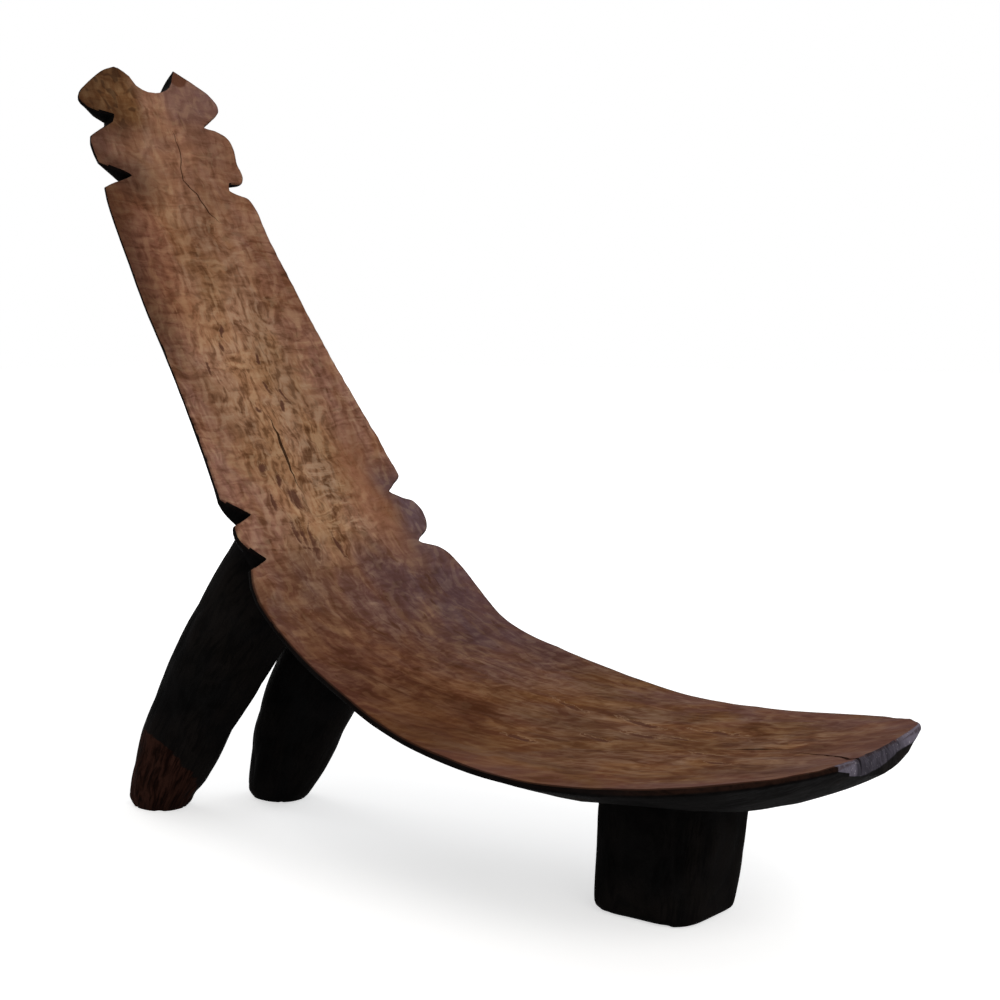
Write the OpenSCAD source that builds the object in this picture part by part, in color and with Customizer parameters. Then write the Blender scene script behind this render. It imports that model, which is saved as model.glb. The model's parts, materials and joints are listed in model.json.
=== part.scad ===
// Three-legged reclining chair, carved in wood: one long board sweeps from the seat up into the back and
// ends in a two-horned head. It stands on a squared front leg and two raked, club-shaped rear legs.
// The front faces -Y, the sitter's left is +X and Z is up. The origin lies on the floor under the middle of
// the chair's outline.
// Places along the board are arc lengths on its top line, measured from the front end.

/* [Seat and back line] */
// Height of the lowest point of the seat above the floor
seat_h = 142; // [120:1:170]
// Distance of that lowest point behind the middle of the front leg
seat_low_back = 34; // [10:1:60]
// Radius of the seat in front of its lowest point
front_r = 1000; // [800:10:1400]
// Arc of the seat in front of its lowest point, in degrees
front_deg = 13.2; // [11:0.1:15]
// Radius of the seat behind its lowest point
rear_r = 550; // [450:10:650]
// Arc of the seat behind its lowest point, in degrees
rear_deg = 24.5; // [22:0.1:27]
// Radius of the bend between seat and back
bend_r = 281; // [250:1:320]
// Arc of the bend, in degrees
bend_deg = 28.5; // [26:0.1:31]
// Radius of the hollow of the back and head
back_r = 2600; // [2200:10:3600]
// Length of the back and head above the bend
back_len = 563; // [500:1:620]

/* [Width of the board] */
// Width of the blunt front end
front_w = 150; // [120:2:190]
// How much further forward the front end reaches on the sitter's right than on the left
front_skew = 8; // [0:1:24]
// Greatest width of the seat
seat_w = 355; // [320:1:390]
// Length over which the front corners round out to the greatest width
front_round_len = 160; // [130:5:200]
// Width where the seat draws in before the bend
draw_w = 284; // [260:1:300]
// Place where the seat draws in
draw_at = 495; // [470:1:515]
// Greatest width of the shoulders behind that place
shoulder_w = 289; // [270:1:310]
// Width at the shoulders' corners, where the waist begins
corner_w = 256; // [240:1:268]
// Width of the back just above the waist
back_low_w = 252; // [236:1:270]
// Width of the back at its top
back_top_w = 194; // [180:1:212]
// How far the back's edges draw in between its ends
back_draw = 3; // [0:0.5:6]

/* [Thickness of the board] */
// Thickness along the middle of the back and head
back_t = 31; // [28:0.5:38]
// Thickness along the middle of the seat, over the front leg
seat_t = 44; // [38:0.5:50]
// Thickness at the middle of the front end
front_t = 22; // [16:0.5:30]
// Thickness at the edges of the board
edge_t = 4.5; // [3:0.5:8]
// Fullness of the underside between edges and middle
fullness = 1.9; // [1.4:0.1:3]
// Length over which the underside rises to the front end
bow_len = 100; // [80:5:140]
// Hollow of the top face across its width
dish = 3; // [0:0.5:6]

/* [Waist] */
// Place of the shoulders' corner on the top line
shoulder_at = 598; // [590:1:610]
// Width left between the notches of the waist
waist_w = 208; // [190:1:220]
// Length of the lower notch along the edge
low_notch_len = 22; // [16:1:26]
// Width across the waist's two lobes
lobe_w = 254; // [240:1:276]
// Length of the lobes along the edge
lobe_len = 36; // [30:1:40]
// Length of the upper notch along the edge
high_notch_len = 24; // [18:1:30]

/* [Head] */
// Length of the head above the back's top corners
head_len = 148; // [138:1:158]
// Width left between the lower notches of the head
neck_w = 132; // [116:1:146]
// Length of the lower notches along the edge
neck_notch_len = 27; // [20:1:32]
// Width of the lobes between the two pairs of notches
neck_lobe_w = 192; // [178:1:206]
// Length of those lobes along the edge
neck_lobe_len = 41; // [34:1:46]
// Width left between the upper notches of the head
brow_w = 121; // [106:1:136]
// Length of the upper notches along the edge
brow_notch_len = 24; // [18:1:28]
// Greatest width across the horns
horn_w = 187; // [176:1:204]
// Width across the outer edges of the horns' tips
tip_w = 90; // [76:1:92]
// Width of the cleft between the horns at its mouth
cleft_w = 60; // [48:1:66]
// Radius of the cleft's round bottom
cleft_r = 13; // [8:1:16]
// Depth of the cleft from the tips
cleft_depth = 28; // [22:1:34]
// How far the head leans toward the sitter's right
head_lean = 2; // [0:0.5:8]
// How much longer the left horn is than the right one
horn_skew = 12; // [0:1:20]

/* [Front leg] */
// Width of the front leg across the chair
front_leg_w = 94; // [82:1:106]
// Depth of the front leg from front to back
front_leg_d = 112; // [98:1:124]
// Width of the front leg at its foot
front_foot_w = 98; // [86:1:108]
// Depth of the front leg at its foot
front_foot_d = 100; // [88:1:110]
// Distance of the front leg's top in front of its foot's middle
front_rake = 6; // [0:1:12]
// Squareness of the front leg's section, where 2 is an oval
front_leg_square = 5; // [3:0.5:8]

/* [Rear legs] */
// Distance of the right leg's foot behind the middle of the front leg
right_foot_back = 590; // [570:1:600]
// Distance of the left leg's foot behind the middle of the front leg
left_foot_back = 520; // [500:1:540]
// Distance of the right foot's middle from the chair's middle plane
right_foot_out = 51; // [46:1:60]
// Distance of the left foot's middle from the chair's middle plane
left_foot_out = 51; // [46:1:60]
// Width of a rear foot
rear_foot_w = 54; // [48:1:62]
// Depth of a rear foot from front to back
rear_foot_d = 64; // [56:1:72]
// Width of a rear leg at half its height
rear_mid_w = 88; // [78:1:92]
// Depth of a rear leg at half its height
rear_mid_d = 104; // [94:1:112]
// Width of a rear leg at its top
rear_top_w = 84; // [74:1:88]
// Length of a rear leg's top along the board
rear_top_d = 98; // [90:1:108]
// How far the rear legs bow backward at half their height
rear_bow = 14; // [0:1:24]
// Distance of the rear legs' tops from the chair's middle plane
rear_top_out = 46; // [44:1:52]
// Place of the right leg's top on the top line
right_top_at = 624; // [612:1:636]
// Place of the left leg's top on the top line
left_top_at = 580; // [568:1:592]
// Squareness of the rear legs' sections, where 2 is an oval
rear_leg_square = 2.3; // [2:0.1:4]

/* [Joints] */
// Diameter of the mortises for the legs' stub tenons
mortise_d = 44; // [36:1:50]
// Depth of the mortises below the pads' faces
mortise_depth = 22; // [18:1:24]
// Height of the pads' faces below the board's thickest part
pad_h = 3; // [2:0.5:8]
// Clearance round a tenon, on the radius
tenon_gap = 0.25; // [0.1:0.05:0.5]
// Clearance above a tenon's end
tenon_end_gap = 1; // [0.5:0.5:3]
// Wood left between a pad's root and the top face
pad_cover = 12; // [10:0.5:14]

/* [Hidden] */
// Colours of the rubbed top face and of the blackened legs
worn_wood = "#7c5029";
black_wood = "#231d1a";
// Fineness: points across each face of the board, points round a leg, rings up a leg
face_steps = 12;
leg_sides = 28;
leg_rings = 12;
$fn = 64;

// Lengths of the arcs of the top line, and places on it
front_len = front_r * front_deg * PI / 180;
rear_len = rear_r * rear_deg * PI / 180;
bend_len = bend_r * bend_deg * PI / 180;
bend_at = front_len + rear_len;
back_from = bend_at + bend_len;
total_len = back_from + back_len;
lobe_at = shoulder_at + low_notch_len;
high_notch_at = lobe_at + lobe_len;
back_at = high_notch_at + high_notch_len;
head_at = total_len - head_len;
neck_lobe_at = head_at + neck_notch_len;
brow_notch_at = neck_lobe_at + neck_lobe_len;
horn_at = brow_notch_at + brow_notch_len;
shoulder_peak_at = (draw_at + shoulder_at) / 2;
front_leg_at = front_len - seat_low_back - front_rake;

// The top line in the chair's middle plane: [y, z, slope in degrees] at arc length s
function arc(from, r, len) =
    let (a = from[2] + len / r * 180 / PI)
    [from[0] + r * (sin(a) - sin(from[2])), from[1] + r * (cos(from[2]) - cos(a)), a];
low_point = [seat_low_back, seat_h, 0];
bend_start = arc(low_point, rear_r, rear_len);
back_start = arc(bend_start, bend_r, bend_len);
function line_at(s) =
    s < front_len ? arc(low_point, front_r, s - front_len)
    : s < bend_at ? arc(low_point, rear_r, s - front_len)
    : s < back_from ? arc(bend_start, bend_r, s - bend_at)
    : arc(back_start, back_r, s - back_from);

// A point x across the chair, s along the top line and n above it, square to the line
function spot(x, s, n) =
    let (p = line_at(s)) [x, p[0] - n * sin(p[2]), p[1] + n * cos(p[2])];

// Half the width of the board, as its edges are carved
round_power = 1.7;
function front_half(s) =
    let (u = 1 - s / front_round_len)
    front_w / 2 + (seat_w - front_w) / 2 * pow(1 - pow(u, round_power), 1 / round_power);
function seat_half(s) =
    let (u = (s - front_round_len) / (draw_at - front_round_len))
    seat_w / 2 - (seat_w - draw_w) / 2 * u * u;
function shoulder_half(s) =
    let (u = (s - shoulder_peak_at) / (shoulder_at - shoulder_peak_at))
    u < 0 ? shoulder_w / 2 - (shoulder_w - draw_w) / 2 * u * u
    : shoulder_w / 2 - (shoulder_w - corner_w) / 2 * pow(u, 3);
function horn_half(s) =
    let (u = (s - horn_at) / (total_len - horn_at), v = (u - horn_peak) / (1 - horn_peak))
    u < horn_peak ? horn_w / 2 - horn_heel * pow(u / horn_peak - 1, 2)
    : tip_w / 2 + (horn_w - tip_w) / 2 * (1 - pow(v, round_power));
// Share of the horns' length at their widest, and how far they draw in at the notch below
horn_peak = 0.28;
horn_heel = 12;
// Where the bottom of each notch lies between its two corners
low_apex = 0.42;
high_apex = 0.2;
neck_apex = 0.47;
brow_apex = 0.75;
// Length and depth of the worn corners of the lobes, which the neck's lower corners have less of
lobe_worn = 10;
lobe_worn_in = 6;
neck_worn_in = 2;
waist_edge = [
    [shoulder_at, corner_w / 2],
    [shoulder_at + low_apex * low_notch_len, waist_w / 2],
    [lobe_at, lobe_w / 2 - lobe_worn_in],
    [lobe_at + lobe_worn, lobe_w / 2],
    [high_notch_at - lobe_worn, lobe_w / 2],
    [high_notch_at, lobe_w / 2 - lobe_worn_in],
    [high_notch_at + high_apex * high_notch_len, waist_w / 2],
    [back_at, back_low_w / 2]
];
head_edge = [
    [head_at, back_top_w / 2],
    [head_at + neck_apex * neck_notch_len, neck_w / 2],
    [neck_lobe_at, neck_lobe_w / 2 - neck_worn_in],
    [neck_lobe_at + lobe_worn, neck_lobe_w / 2],
    [brow_notch_at - lobe_worn, neck_lobe_w / 2],
    [brow_notch_at, neck_lobe_w / 2 - lobe_worn_in],
    [brow_notch_at + brow_apex * brow_notch_len, brow_w / 2],
    [horn_at, horn_w / 2 - horn_heel]
];
carved_edge = concat(waist_edge, head_edge);
function back_draw_in(s) =
    s < back_at || s > head_at ? 0 : back_draw * sin(180 * (s - back_at) / (head_at - back_at));
function half_w(s) =
    s < front_round_len ? front_half(s)
    : s < draw_at ? seat_half(s)
    : s < shoulder_at ? shoulder_half(s)
    : s < horn_at ? lookup(s, carved_edge) - back_draw_in(s)
    : horn_half(s);

// Half the width that the board would have without its notches, which its thickness follows
uncarved_edge = [
    [draw_at, draw_w / 2],
    [shoulder_peak_at, shoulder_w / 2],
    [back_at, max(back_low_w, lobe_w) / 2],
    [head_at, max(back_top_w, neck_lobe_w) / 2],
    [total_len, max(horn_w, neck_lobe_w) / 2]
];
function full_half_w(s) = s < draw_at ? half_w(s) : lookup(s, uncarved_edge);

// The underside swells from thin edges to the middle, and rises to the front end like a bow
function middle_t(s) =
    s < bow_len ? front_t + (seat_t - front_t) * sin(90 * s / bow_len)
    : s < bend_at ? seat_t - (seat_t - back_t) * pow(sin(90 * (s - bow_len) / (bend_at - bow_len)), 2)
    : back_t;
function top_n(x, s) = -dish * (1 - pow(x / full_half_w(s), 2));
function under_n(x, s) =
    let (u = min(1, abs(x) / full_half_w(s)), edge = min(edge_t, middle_t(s)))
    -edge - (middle_t(s) - edge) * (1 - pow(u, fullness));

// Both ends are cut a little askew: on the left the board starts further back and ends further on
function skew(x, s) =
    s < front_round_len ? front_skew * x / front_w * pow(1 - s / front_round_len, 2)
    : s > head_at ? horn_skew * x / tip_w * pow((s - head_at) / head_len, 3)
    : 0;
// The head leans sideways, more the higher it is
function lean(s) =
    s < back_from ? 0 : -head_lean * pow(sin(90 * (s - back_from) / back_len), 2);
// One section of the board: along its top face to +X, then back along its underside
function board_ring(s) =
    let (xs = [for (i = [0:face_steps]) -half_w(s) * cos(180 * i / face_steps)])
    concat(
        [for (x = xs) spot(x + lean(s), s + skew(x, s), top_n(x, s))],
        [for (i = [face_steps:-1:0]) spot(xs[i] + lean(s), s + skew(xs[i], s), under_n(xs[i], s))]
    );
// Places of the sections: steps along the plain lengths, none of them closer than least_step to a notch
front_steps = 12;
seat_step = 15;
back_step = 30;
least_step = 5;
horn_steps = 8;
board_places = concat(
    [for (i = [0:front_steps - 1]) front_round_len * pow(i / front_steps, round_power)],
    [for (s = [front_round_len:seat_step:shoulder_at - least_step]) s],
    [for (p = waist_edge) p[0]],
    [for (s = [back_at + back_step:back_step:head_at - least_step]) s],
    [for (p = head_edge) p[0]],
    [for (i = [1:horn_steps]) horn_at + (total_len - horn_at) * i / horn_steps]
);
board_rings = [for (s = board_places) board_ring(s)];

// A leg: [place on the top line, x at top, top size, middle size, foot centre, foot size, bow, squareness]
front_spec = [
    front_leg_at, 0, [front_leg_w, front_leg_d],
    [(front_leg_w + front_foot_w) / 2, (front_leg_d + front_foot_d) / 2],
    [0, 0], [front_foot_w, front_foot_d], 0, front_leg_square
];
right_spec = [
    right_top_at, -rear_top_out, [rear_top_w, rear_top_d], [rear_mid_w, rear_mid_d],
    [-right_foot_out, right_foot_back], [rear_foot_w, rear_foot_d], rear_bow, rear_leg_square
];
left_spec = [
    left_top_at, rear_top_out, [rear_top_w, rear_top_d], [rear_mid_w, rear_mid_d],
    [left_foot_out, left_foot_back], [rear_foot_w, rear_foot_d], rear_bow, rear_leg_square
];
function rounded(v, squareness) = sign(v) * pow(abs(v), 2 / squareness);
// A leg's section as offsets [across, along], on a closed curve between an oval and a rectangle
function leg_section(size, squareness) = [
    for (i = [0:leg_sides - 1])
        let (a = 360 * (i + 0.5) / leg_sides)
        [size[0] / 2 * rounded(cos(a), squareness), size[1] / 2 * rounded(sin(a), squareness)]
];
// How far a pad's face lies below the top line, and the flat top of the leg on it
function pad_n(leg) = middle_t(leg[0]) + pad_h;
function top_ring(leg, lift) =
    let (
        centre = spot(leg[1], leg[0], lift - pad_n(leg)),
        slope = line_at(leg[0])[2]
    )
    [for (o = leg_section(leg[2], leg[7])) centre + [o[0], o[1] * cos(slope), o[1] * sin(slope)]];
function foot_ring(leg, z) =
    [for (o = leg_section(leg[5], leg[7])) [leg[4][0] + o[0], leg[4][1] + o[1], z]];
function middle_ring(leg) =
    let (top = spot(leg[1], leg[0], -pad_n(leg)))
    [for (o = leg_section(leg[3], leg[7]))
        [(top[0] + leg[4][0]) / 2 + o[0], (top[1] + leg[4][1]) / 2 + leg[6] + o[1], top[2] / 2]];
// Ring at share u of the way up: a curve through the foot, the middle and the top
function leg_ring(leg, u) =
    let (foot = foot_ring(leg, 0), middle = middle_ring(leg), top = top_ring(leg, 0))
    [for (i = [0:leg_sides - 1])
        foot[i] * (1 - u) * (1 - 2 * u) + middle[i] * 4 * u * (1 - u) + top[i] * u * (2 * u - 1)];
// The foot's edge is rounded off by wear: shares of the way up and of the ring's size
foot_wear = [[0, 0.8], [0.015, 0.89], [0.04, 0.96], [0.075, 0.99]];
worn_to = foot_wear[len(foot_wear) - 1][0];
function shrunk(ring, share) =
    let (middle = [for (axis = [0:2]) sum([for (p = ring) p[axis]]) / len(ring)])
    [for (p = ring) [middle[0] + (p[0] - middle[0]) * share, middle[1] + (p[1] - middle[1]) * share, p[2]]];
function sum(v, i = 0) = i == len(v) ? 0 : v[i] + sum(v, i + 1);
function leg_surface(leg) = concat(
    [for (w = foot_wear) shrunk(leg_ring(leg, w[0]), w[1])],
    [for (i = [1:leg_rings]) leg_ring(leg, worn_to + (1 - worn_to) * i / leg_rings)]
);

// The outline's middle from front to back, which the origin lies under
reach = [
    for (rings = [board_rings, leg_surface(right_spec), leg_surface(left_spec)])
        for (ring = rings) for (p = ring) p[1]
];
middle_y = (min(reach) + max(reach)) / 2;

// Closed skin over rings of equally many points, with flat ends
module skin(rings) {
    sides = len(rings[0]);
    last = len(rings) - 1;
    walls = [
        for (i = [0:last - 1]) for (j = [0:sides - 1])
            let (a = i * sides + j, b = i * sides + (j + 1) % sides)
            each [[a, a + sides, b + sides], [a, b + sides, b]]
    ];
    first_end = [for (j = [0:sides - 1]) j];
    last_end = [for (j = [sides - 1:-1:0]) last * sides + j];
    polyhedron(
        points = [for (ring = rings) for (p = ring) p],
        faces = concat(walls, [first_end, last_end]),
        convexity = 6
    );
}

// Children are drawn with +Z square to the board at a leg's top, from the pad's face upward
module at_joint(leg)
    translate(spot(leg[1], leg[0], -pad_n(leg)))
        rotate([line_at(leg[0])[2], 0, 0])
            children();

module pad(leg)
    skin([top_ring(leg, 0), top_ring(leg, pad_n(leg) - pad_cover)]);

// Starts below the pad's face, so that the face is cut clean
cut_over = 2;
module mortise(leg)
    at_joint(leg)
        translate([0, 0, -cut_over])
            cylinder(d = mortise_d, h = mortise_depth + cut_over);

module tenon(leg)
    at_joint(leg)
        translate([0, 0, -cut_over])
            cylinder(d = mortise_d - 2 * tenon_gap, h = mortise_depth - tenon_end_gap + cut_over);

// The cleft between the horns: a round bottom and flaring sides, cut square through the board
module cleft() {
    straight_len = cleft_depth - cleft_r;
    through = 3 * back_t;
    translate(spot(0, total_len, 0))
        rotate([line_at(total_len)[2], 0, 0])
            linear_extrude(through, center = true)
                translate([0, -straight_len]) {
                    circle(cleft_r);
                    polygon([
                        [-cleft_r, 0], [cleft_r, 0],
                        [cleft_w / 2, straight_len], [cleft_w / 2, straight_len + cleft_depth],
                        [-cleft_w / 2, straight_len + cleft_depth], [-cleft_w / 2, straight_len]
                    ]);
                }
}

module board() {
    legs = [front_spec, right_spec, left_spec];
    color(worn_wood)
        translate([0, -middle_y, 0])
            difference() {
                union() {
                    skin(board_rings);
                    for (leg = legs) pad(leg);
                }
                for (leg = legs) mortise(leg);
                cleft();
            }
}

module jointed_leg(leg)
    color(black_wood)
        translate([0, -middle_y, 0]) {
            skin(leg_surface(leg));
            tenon(leg);
        }

module front_leg() { jointed_leg(front_spec); }
module rear_leg_right() { jointed_leg(right_spec); }
module rear_leg_left() { jointed_leg(left_spec); }

board();
front_leg();
rear_leg_right();
rear_leg_left();
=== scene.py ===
"""Carved reclining chair: a long board from seat to horned head, on a block leg and two raked club legs.

Run as a script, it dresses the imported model: each carved piece takes the place of one node of it.
Lengths are metres. Places along the board are lengths on its top line, from the front end of the seat.
"""

import json
import math

import bpy
import numpy as np
from bpy.props import FloatProperty, FloatVectorProperty, IntProperty, PointerProperty
from mathutils import Matrix


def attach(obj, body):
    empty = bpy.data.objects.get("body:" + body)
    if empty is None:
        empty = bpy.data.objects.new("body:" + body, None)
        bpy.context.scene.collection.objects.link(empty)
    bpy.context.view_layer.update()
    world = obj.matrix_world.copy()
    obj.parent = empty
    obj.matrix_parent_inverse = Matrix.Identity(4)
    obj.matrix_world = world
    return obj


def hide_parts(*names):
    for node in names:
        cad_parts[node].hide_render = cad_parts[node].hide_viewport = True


bl_info = {
    "name": "Carved reclining chair",
    "version": (1, 0, 0),
    "blender": (4, 5, 0),
    "location": "3D View > Sidebar > Chair",
    "description": "Carves the board and legs of a reclining chair and sets the stage for its picture",
    "category": "Add Mesh",
}

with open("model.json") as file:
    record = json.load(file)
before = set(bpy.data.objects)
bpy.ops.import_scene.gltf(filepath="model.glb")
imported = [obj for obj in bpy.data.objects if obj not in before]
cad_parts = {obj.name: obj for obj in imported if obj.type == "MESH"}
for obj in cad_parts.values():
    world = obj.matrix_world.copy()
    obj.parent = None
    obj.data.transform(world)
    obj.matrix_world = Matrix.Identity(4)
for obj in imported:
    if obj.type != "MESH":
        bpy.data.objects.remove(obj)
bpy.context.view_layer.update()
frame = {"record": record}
MOUNTS = {mount["name"]: mount["pos_m"] for mount in frame["record"]["mounts"]}
FRONT_FOOT = MOUNTS["front_foot"]
MM = 0.001


# Sizes and colours

def length(default, name, description):
    return FloatProperty(name=name, description=description, default=default, unit="LENGTH", precision=4)


def turn(degrees, name, description):
    return FloatProperty(name=name, description=description, default=math.radians(degrees), subtype="ANGLE")


def colour(default, name, description):
    return FloatVectorProperty(name=name, description=description, default=default, size=3, subtype="COLOR",
                               min=0, max=1)


class ChairLine(bpy.types.PropertyGroup):
    """The line that the board's top face follows in the chair's middle plane"""
    seat_h: length(0.142, "Seat height", "Lowest point of the seat above the floor")
    low_back: length(0.034, "Low point", "Distance of the lowest point behind the front foot's middle")
    front_r: length(1.000, "Front radius", "Radius of the seat in front of its lowest point")
    front_arc: turn(13.2, "Front arc", "Arc of the seat in front of its lowest point")
    rear_r: length(0.550, "Rear radius", "Radius of the seat behind its lowest point")
    rear_arc: turn(24.5, "Rear arc", "Arc of the seat behind its lowest point")
    bend_r: length(0.281, "Bend radius", "Radius of the bend between seat and back")
    bend_arc: turn(28.5, "Bend arc", "Arc of the bend")
    back_r: length(2.600, "Back radius", "Radius of the hollow of the back and head")


class ChairBoard(bpy.types.PropertyGroup):
    """The board's thickness and the fineness of its carved surface"""
    back_t: length(0.031, "Back thickness", "Thickness along the middle of the back and head")
    seat_t: length(0.044, "Seat thickness", "Thickness along the middle of the seat")
    front_t: length(0.022, "Front thickness", "Thickness at the middle of the front end")
    edge_t: length(0.0045, "Edge thickness", "Thickness at the edges of the back")
    seat_edge_t: length(0.0060, "Seat edge thickness", "Thickness at the edges of the seat")
    fullness: FloatProperty(name="Fullness", description="Fullness of the underside", default=1.9)
    waist_fullness: FloatProperty(name="Waist fullness", description="Fullness of the underside at the waist",
                                  default=6.0)
    bow: length(0.100, "Bow", "Length over which the underside rises to the front end")
    dish: length(0.003, "Dish", "Hollow of the top face across its width")
    arris: length(0.0014, "Arris", "Rounding of the worn edges")
    pad_h: length(0.003, "Pad height", "Height of the legs' pads below the board's thickest part")
    pad_cover: length(0.009, "Pad cover", "Wood between a pad's root and the top face")
    pitch: length(0.0024, "Pitch", "Size of the faces along the board")
    columns: IntProperty(name="Columns", description="Faces across the board", default=108)


class ChairLeg(bpy.types.PropertyGroup):
    """One leg: where it meets the board, its sections and its foot"""
    top_at: length(0.0, "Top place", "Place of its top on the board's top line")
    top_x: length(0.0, "Top offset", "Distance of its top from the middle plane, to the sitter's left")
    top_w: length(0.084, "Top width", "Width at the top")
    top_d: length(0.098, "Top depth", "Length of the top along the board")
    mid_w: length(0.088, "Middle width", "Width at half the height")
    mid_d: length(0.104, "Middle depth", "Depth at half the height")
    foot_w: length(0.054, "Foot width", "Width of the foot")
    foot_d: length(0.064, "Foot depth", "Depth of the foot")
    bow: length(0.014, "Bow", "How far the leg bows backward at half its height")
    squareness: FloatProperty(name="Squareness", description="2 is an oval section, more is squarer",
                              default=2.3)


class ChairJoint(bpy.types.PropertyGroup):
    """The stub tenons on the legs and their mortises in the board"""
    mortise_d: length(0.044, "Mortise diameter", "Diameter of the mortises")
    mortise_depth: length(0.022, "Mortise depth", "Depth of the mortises from the pads' faces")
    gap: length(0.00025, "Gap", "Clearance round a tenon, on the radius")
    end_gap: length(0.001, "End gap", "Clearance above a tenon's end")


class ChairWood(bpy.types.PropertyGroup):
    """Colours of the worn and the blackened wood"""
    gold: colour((0.330, 0.170, 0.088), "Gold", "Rubbed wood in the middle of the waist and back")
    brown: colour((0.240, 0.100, 0.053), "Brown", "Plain brown of the back")
    rose: colour((0.255, 0.122, 0.086), "Rose", "Greyed wood of the back's edges and the head")
    plum: colour((0.120, 0.054, 0.048), "Plum", "Greyed wood of the bend and shoulders")
    rust: colour((0.118, 0.044, 0.023), "Rust", "Red-brown of the seat and bend")
    amber: colour((0.176, 0.081, 0.037), "Amber", "Rubbed wood of the seat and the right horn")
    # Straw is also painted highlight on the lit flank of each small tool mark on the top face; umber is the
    # painted shade on the other flank.
    straw: colour((0.450, 0.285, 0.172), "Straw", "Lightest fibres and the crests of tool marks")
    umber: colour((0.078, 0.029, 0.011), "Umber", "Dark fibres and the shaded flanks of tool marks")
    mauve: colour((0.165, 0.092, 0.092), "Mauve", "Bluish film on the left lobe, the left horn and the bend")
    # Dark is also painted shade near the near edge of the upper back; elsewhere it darkens the arrises, the
    # walls cut into the top face and the near horn's spots.
    dark: colour((0.026, 0.011, 0.007), "Dark", "Grime in pores, hollows, cracks and along the arrises")
    soot: colour((0.0040, 0.0037, 0.0037), "Soot", "Blackened legs and sides")
    smoke: colour((0.0150, 0.0115, 0.0098), "Smoke", "Crests of tool marks that wear through the black")
    ash: colour((0.072, 0.064, 0.082), "Ash", "Worn grey of the front end")
    bare: colour((0.018, 0.0072, 0.0050), "Bare", "Red-brown patch without soot on the right rear leg")


class ChairStage(bpy.types.PropertyGroup):
    """Camera and light"""
    focal: FloatProperty(name="Focal length", description="Focal length of the camera", default=64.08,
                         unit="CAMERA")
    camera_x: length(-1.23176, "Camera X", "Camera's place to the sitter's left of the front foot")
    camera_y: length(-0.81770, "Camera Y", "Camera's place behind the front foot")
    camera_z: length(0.48358, "Camera Z", "Camera's height above the floor")
    camera_turn: turn(-51.0, "Camera turn", "Camera's turn about the vertical")
    camera_dip: turn(5.30, "Camera dip", "How far the camera looks down")
    key: FloatProperty(name="Key light", description="Power of the key lamp", default=39.0, unit="POWER")
    fill: FloatProperty(name="Fill light", description="Strength of the even light all round", default=0.41)


# The top line

def line_parts():
    """Each arc of the top line as (first place, last place, radius, slope at the first place, y, z there)."""
    line = bpy.context.scene.chair_line
    arcs = [(line.front_r, line.front_arc), (line.rear_r, line.rear_arc), (line.bend_r, line.bend_arc)]
    slope = -line.front_arc
    y = FRONT_FOOT[1] + line.low_back - line.front_r * math.sin(line.front_arc)
    z = line.seat_h + line.front_r * (1 - math.cos(line.front_arc))
    place = 0.0
    parts = []
    for radius, arc in arcs + [(line.back_r, math.pi)]:
        parts.append((place, place + radius * arc, radius, slope, y, z))
        y += radius * (math.sin(slope + arc) - math.sin(slope))
        z += radius * (math.cos(slope) - math.cos(slope + arc))
        place += radius * arc
        slope += arc
    return parts


def on_board(x, place, height):
    """Points x across, at a place along the top line and a height above it, and the slope there."""
    x, place, height = np.broadcast_arrays(np.asarray(x, float), place, height)
    slope, y, z = (np.zeros(place.shape) for _ in range(3))
    parts = line_parts()
    for index, (start, end, radius, first_slope, first_y, first_z) in enumerate(parts):
        here = place < end
        if index:
            here = here & (place >= start)
        angle = first_slope + (place[here] - start) / radius
        slope[here] = angle
        y[here] = first_y + radius * (np.sin(angle) - math.sin(first_slope))
        z[here] = first_z + radius * (math.cos(first_slope) - np.cos(angle))
    points = np.stack([x, y - height * np.sin(slope), z + height * np.cos(slope)], -1)
    return points, slope


def off_board(points):
    """The opposite of on_board: x, place along the top line and height above it for each point."""
    place = np.full(len(points), np.nan)
    height = np.zeros(len(points))
    parts = line_parts()
    for index, (start, end, radius, slope, y, z) in enumerate(parts):
        centre_y, centre_z = y - radius * math.sin(slope), z + radius * math.cos(slope)
        dy, dz = points[:, 1] - centre_y, centre_z - points[:, 2]
        along = start + (np.arctan2(dy, dz) - slope) * radius
        here = np.isnan(place) & ((along < end) | (index == len(parts) - 1))
        place[here] = along[here]
        height[here] = (radius - np.hypot(dy, dz))[here]
    return np.stack([points[:, 0], place, height], -1)


# Carving by code

def lumps(points, size, seed):
    """Smooth random values from -1 to 1 at each point, about one lump to each size."""
    side = 32
    table = np.random.default_rng(seed).uniform(-1, 1, (side, side, side))
    scaled = points / np.asarray(size)
    cell = np.floor(scaled).astype(int)
    part = scaled - cell
    part = part * part * (3 - 2 * part)
    total = np.zeros(len(points))
    for corner in np.ndindex(2, 2, 2):
        weight = np.prod(np.where(corner, part, 1 - part), axis=1)
        i, j, k = ((cell + corner) % side).T
        total += weight * table[i, j, k]
    return total


def scoops(u, v, cell_u, cell_v, seed):
    """Depth shares of overlapping tool strokes, 0 in the middle of a stroke and up to 1 on its ridges."""
    side = 64
    random = np.random.default_rng(seed)
    jitter_u, jitter_v, lift = random.uniform(-0.42, 0.42, (3, side, side))
    u, v = u / cell_u, v / cell_v
    lowest = np.full(u.shape, np.inf)
    for du, dv in np.ndindex(3, 3):
        i = np.floor(u).astype(int) + du - 1
        j = np.floor(v).astype(int) + dv - 1
        a, b = i % side, j % side
        far = (u - i - 0.5 - jitter_u[a, b]) ** 2 + (v - j - 0.5 - jitter_v[a, b]) ** 2
        lowest = np.minimum(lowest, far + 0.25 * lift[a, b])
    return np.clip(lowest, 0, 1)


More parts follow.
